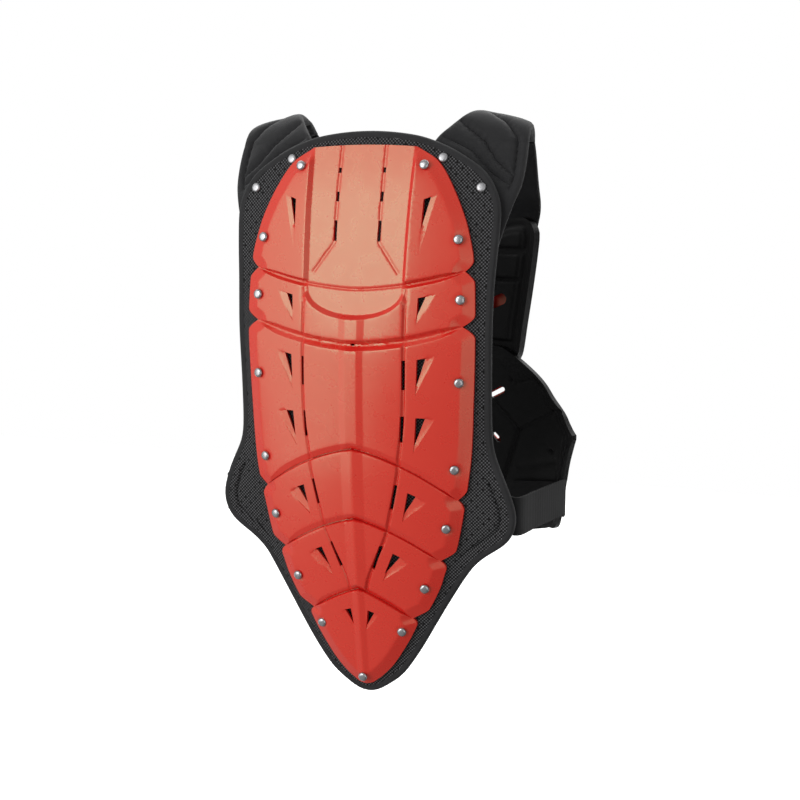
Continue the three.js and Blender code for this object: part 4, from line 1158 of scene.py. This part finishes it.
def front_grid(plan, layer, margins, rows, cols):
    edges, half_width = plan
    share = np.linspace(-1, 1, cols)
    top, low = [height_at(along(edges, side, np.abs(share))) for side in ("top", "low")]
    low_inset, top_inset = [np.minimum(margin, 0.4 * (top - low)) for margin in margins]
    f = np.linspace(0, 1, rows)[:, None]
    x = share * (half_width - margins[0]) + 0 * f
    z = mix(top - top_inset, low + low_inset, f)
    return front_point(x, z, layer(x, z) if callable(layer) else layer)


def front_part(name, node, plan, layers, margins, look, slot, rows, cols):
    """A shell or liner between an inner and an outer layer, inside margins all round and at its top."""
    inner, outer = [front_grid(plan, layer, margins, rows, cols) for layer in layers]
    return piece(name, *between(outer, inner), look, slot, node)


def liner(name, node, plan, layers, cuts, rows, cols):
    foam = front_part(name, node, plan, layers, (0, 0), FOAM, "liner_foam", rows, cols)
    cut_openings(foam, cuts)


def shell(name, node, plan, layer, top_margin):
    layers, margins = (layer, shell_face(layer)), (FRONT_MARGIN, top_margin)
    return front_part(name, node, plan, layers, margins, RED_INSIDE, "moulded_plastic", 64, 200)


def cut_openings(thing, cuts):
    """Cuts openings with round ends through a front plate or liner, on both sides."""
    box = bmesh.new()
    turns = np.linspace(-math.pi / 2, math.pi / 2, 13)
    for sign in SIDES:
        for first, second, width in cuts:
            ends = [np.array((sign * share * WING_SPAN, height_at(at))) for share, at in (first, second)]
            run = (ends[1] - ends[0]) / np.linalg.norm(ends[1] - ends[0])
            bow = [width / 2 * (math.cos(t) * run - math.sin(t) * square(run)) for t in turns]
            outline = [ends[1] + step for step in bow] + [ends[0] - step for step in bow]
            low, high = [[box.verts.new((x * MM, y * MM, z * MM)) for x, z in outline] for y in CUT_DEPTHS]
            n = len(low)
            for k in range(n):
                box.faces.new((low[k], low[(k + 1) % n], high[(k + 1) % n], high[k]))
            box.faces.new(low[::-1])
            box.faces.new(high)
    bmesh.ops.recalc_face_normals(box, faces=box.faces)
    mesh = bpy.data.meshes.new("cut_tool")
    box.to_mesh(mesh)
    box.free()
    tool = add_object("cut_tool", mesh)
    cut = thing.modifiers.new("openings", "BOOLEAN")
    cut.operation, cut.object, cut.solver = "DIFFERENCE", tool, "EXACT"
    apply_modifiers(thing)
    bpy.data.objects.remove(tool)


def waist_belt(sign, name, node):
    """A band from the inside of the pad's hip, round the wing's edge, to the inside of the liner."""
    hip = height_at(BELT_AT[0])
    hip_x, rim, wrap_x = BELT_X[0] * PLATE_HALF, float(pad_half(hip)), BELT_X[1] * WING_SPAN

    def behind(x):
        y = min(float(pad_inner_y(x, hip + f * BELT_WIDTH)) for f in (0.5, 0, -0.5))
        return np.array((x, y - (BINDING_THICK - PAD_EDGE) / 2 - GAP - BELT_THICK / 2))

    def on_liner(share):
        return front_point(share * WING_SPAN, 0, -SEAT - BELT_THICK / 2)[:2]

    wrap_y = on_liner(BELT_X[1])[1]
    turn = np.array((wrap_x, wrap_y + BELT_TURN))
    route = [behind(hip_x), behind((hip_x + rim) / 2)]
    route += [mix(behind(rim), turn, f) for f in (0, 0.35, 0.7, 1)]
    turn_index = len(route) - 1
    route.append((wrap_x - GAP, wrap_y + BELT_TURN / 2))
    route += [on_liner(mix(BELT_X[2], BELT_X[3], f)) for f in (0, 0.25, 0.5, 0.75, 1)]
    last = len(route) - 1
    heights = height_at(np.interp(range(last + 1), (0, turn_index, last), BELT_AT))
    across = BELT_WIDTH * np.linspace(-0.5, 0.5, 9)
    rows = [[(sign * x, y, z + step) for step in across] for (x, y), z in zip(route, heights)]
    return slab(name, refine(rows, 90), BELT_THICK, ELASTIC, "elastic", node)


# Light, floor and camera

def camera():
    data = bpy.data.cameras.new("camera")
    data.lens = LENS
    data.clip_end = 50
    right, back = Vector(CAMERA_RIGHT).normalized(), Vector(CAMERA_BACK).normalized()
    turn = Matrix((right, back.cross(right), back)).transposed().to_4x4()
    thing = add_object("camera", data)
    thing.matrix_world = Matrix.Translation(Vector(CAMERA_AT) * MM) @ turn
    bpy.context.scene.camera = thing


def softbox(name, azimuth, elevation, reach, size, radiance, target=(0, 0, -0.28)):
    """An area light that looks at its target from an azimuth and elevation."""
    a, e = math.radians(azimuth), math.radians(elevation)
    way = Vector((math.sin(a) * math.cos(e), -math.cos(a) * math.cos(e), math.sin(e)))
    data = bpy.data.lights.new(name, "AREA")
    data.shape, data.size, data.size_y = "RECTANGLE", size[0], size[1]
    data.energy = radiance * math.pi * size[0] * size[1]
    thing = add_object(name, data)
    thing.location = Vector(target) + way * reach
    thing.rotation_mode = "QUATERNION"
    thing.rotation_quaternion = (-way).to_track_quat("-Z", "Y")


def room():
    """White to the camera, and a soft room brighter on one side to everything else."""
    world = bpy.data.worlds.new("studio")
    world.use_nodes = True
    n = Nodes(world.node_tree, "Background")
    n.wire("Color", (1, 1, 1, 1))
    ways = {0: n.place("Generated"), 1: ROOM_BRIGHT_SIDE}
    lit = n.add("ShaderNodeVectorMath", ways, operation="DOT_PRODUCT").outputs["Value"]
    light = n.level(lit, -0.7, 0.7, *ROOM_LIGHT)
    seen = n.add("ShaderNodeLightPath").outputs["Is Camera Ray"]
    n.wire("Strength", n.level(seen, 0, 1, light, 1))
    bpy.context.scene.world = world


def studio():
    room()
    mesh = bpy.data.meshes.new("floor")
    wide, near, far, level = 4, -0.6, -4.4, FLOOR_AT * MM
    corners = [(-wide, far, level), (wide, far, level), (wide, near, level), (-wide, near, level)]
    mesh.from_pydata(corners, [], [(0, 1, 2, 3)])
    look, _ = material("floor", (0.93, 0.93, 0.93), 0.8, Emission_Color=(1, 1, 1, 1), Emission_Strength=0.4)
    mesh.materials.append(look)
    add_object("floor", mesh)
    softbox("key", 160, 19.5, 2.2, (0.9, 1.5), 4.2)
    softbox("left", 136, 8, 2.4, (1.2, 2.7), 1.5)
    softbox("low", 156, -11, 2.2, (0.6, 0.5), 1.5)
    softbox("fill", 230, 2, 2.8, (2.2, 2.4), 0.8)
    softbox("floor_light", 0, 90, 3.0, (6.0, 4.0), 2.6, target=(0, -2.6, FLOOR_AT * MM))
    bpy.context.scene.view_settings.view_transform = "Standard"


camera()
studio()
back_plate()
back_pad()
back_binding()
fasteners()
for sign, word in zip(SIDES, ("left", "right")):
    shoulder_pad(sign, f"shoulder_cushion_{word}", f"shoulder_pad_{word}")
    strap = front_strap(sign, f"front_webbing_{word}", f"front_strap_{word}")
    belt = waist_belt(sign, f"waist_elastic_{word}", f"waist_belt_{word}")
liner("chest_foam", "chest_liner", CHEST_PLAN, (chest_layer, CHEST_OUTER), CHEST_CUTS, 90, 200)
shell("chest_shell", "chest_plate", CHEST_PLAN, CHEST_OUTER + SEAT, FRONT_MARGIN)
liner("belly_foam", "belly_liner", BELLY_PLAN, (belly_layer, BELLY_FOAM), BELLY_CUTS, 110, 260)
belly_shell = shell("belly_shell", "belly_plate", BELLY_PLAN, BELLY_FOAM + SEAT, BELLY_PLATE_DROP)
cut_openings(belly_shell, BELLY_SHELL_CUTS)
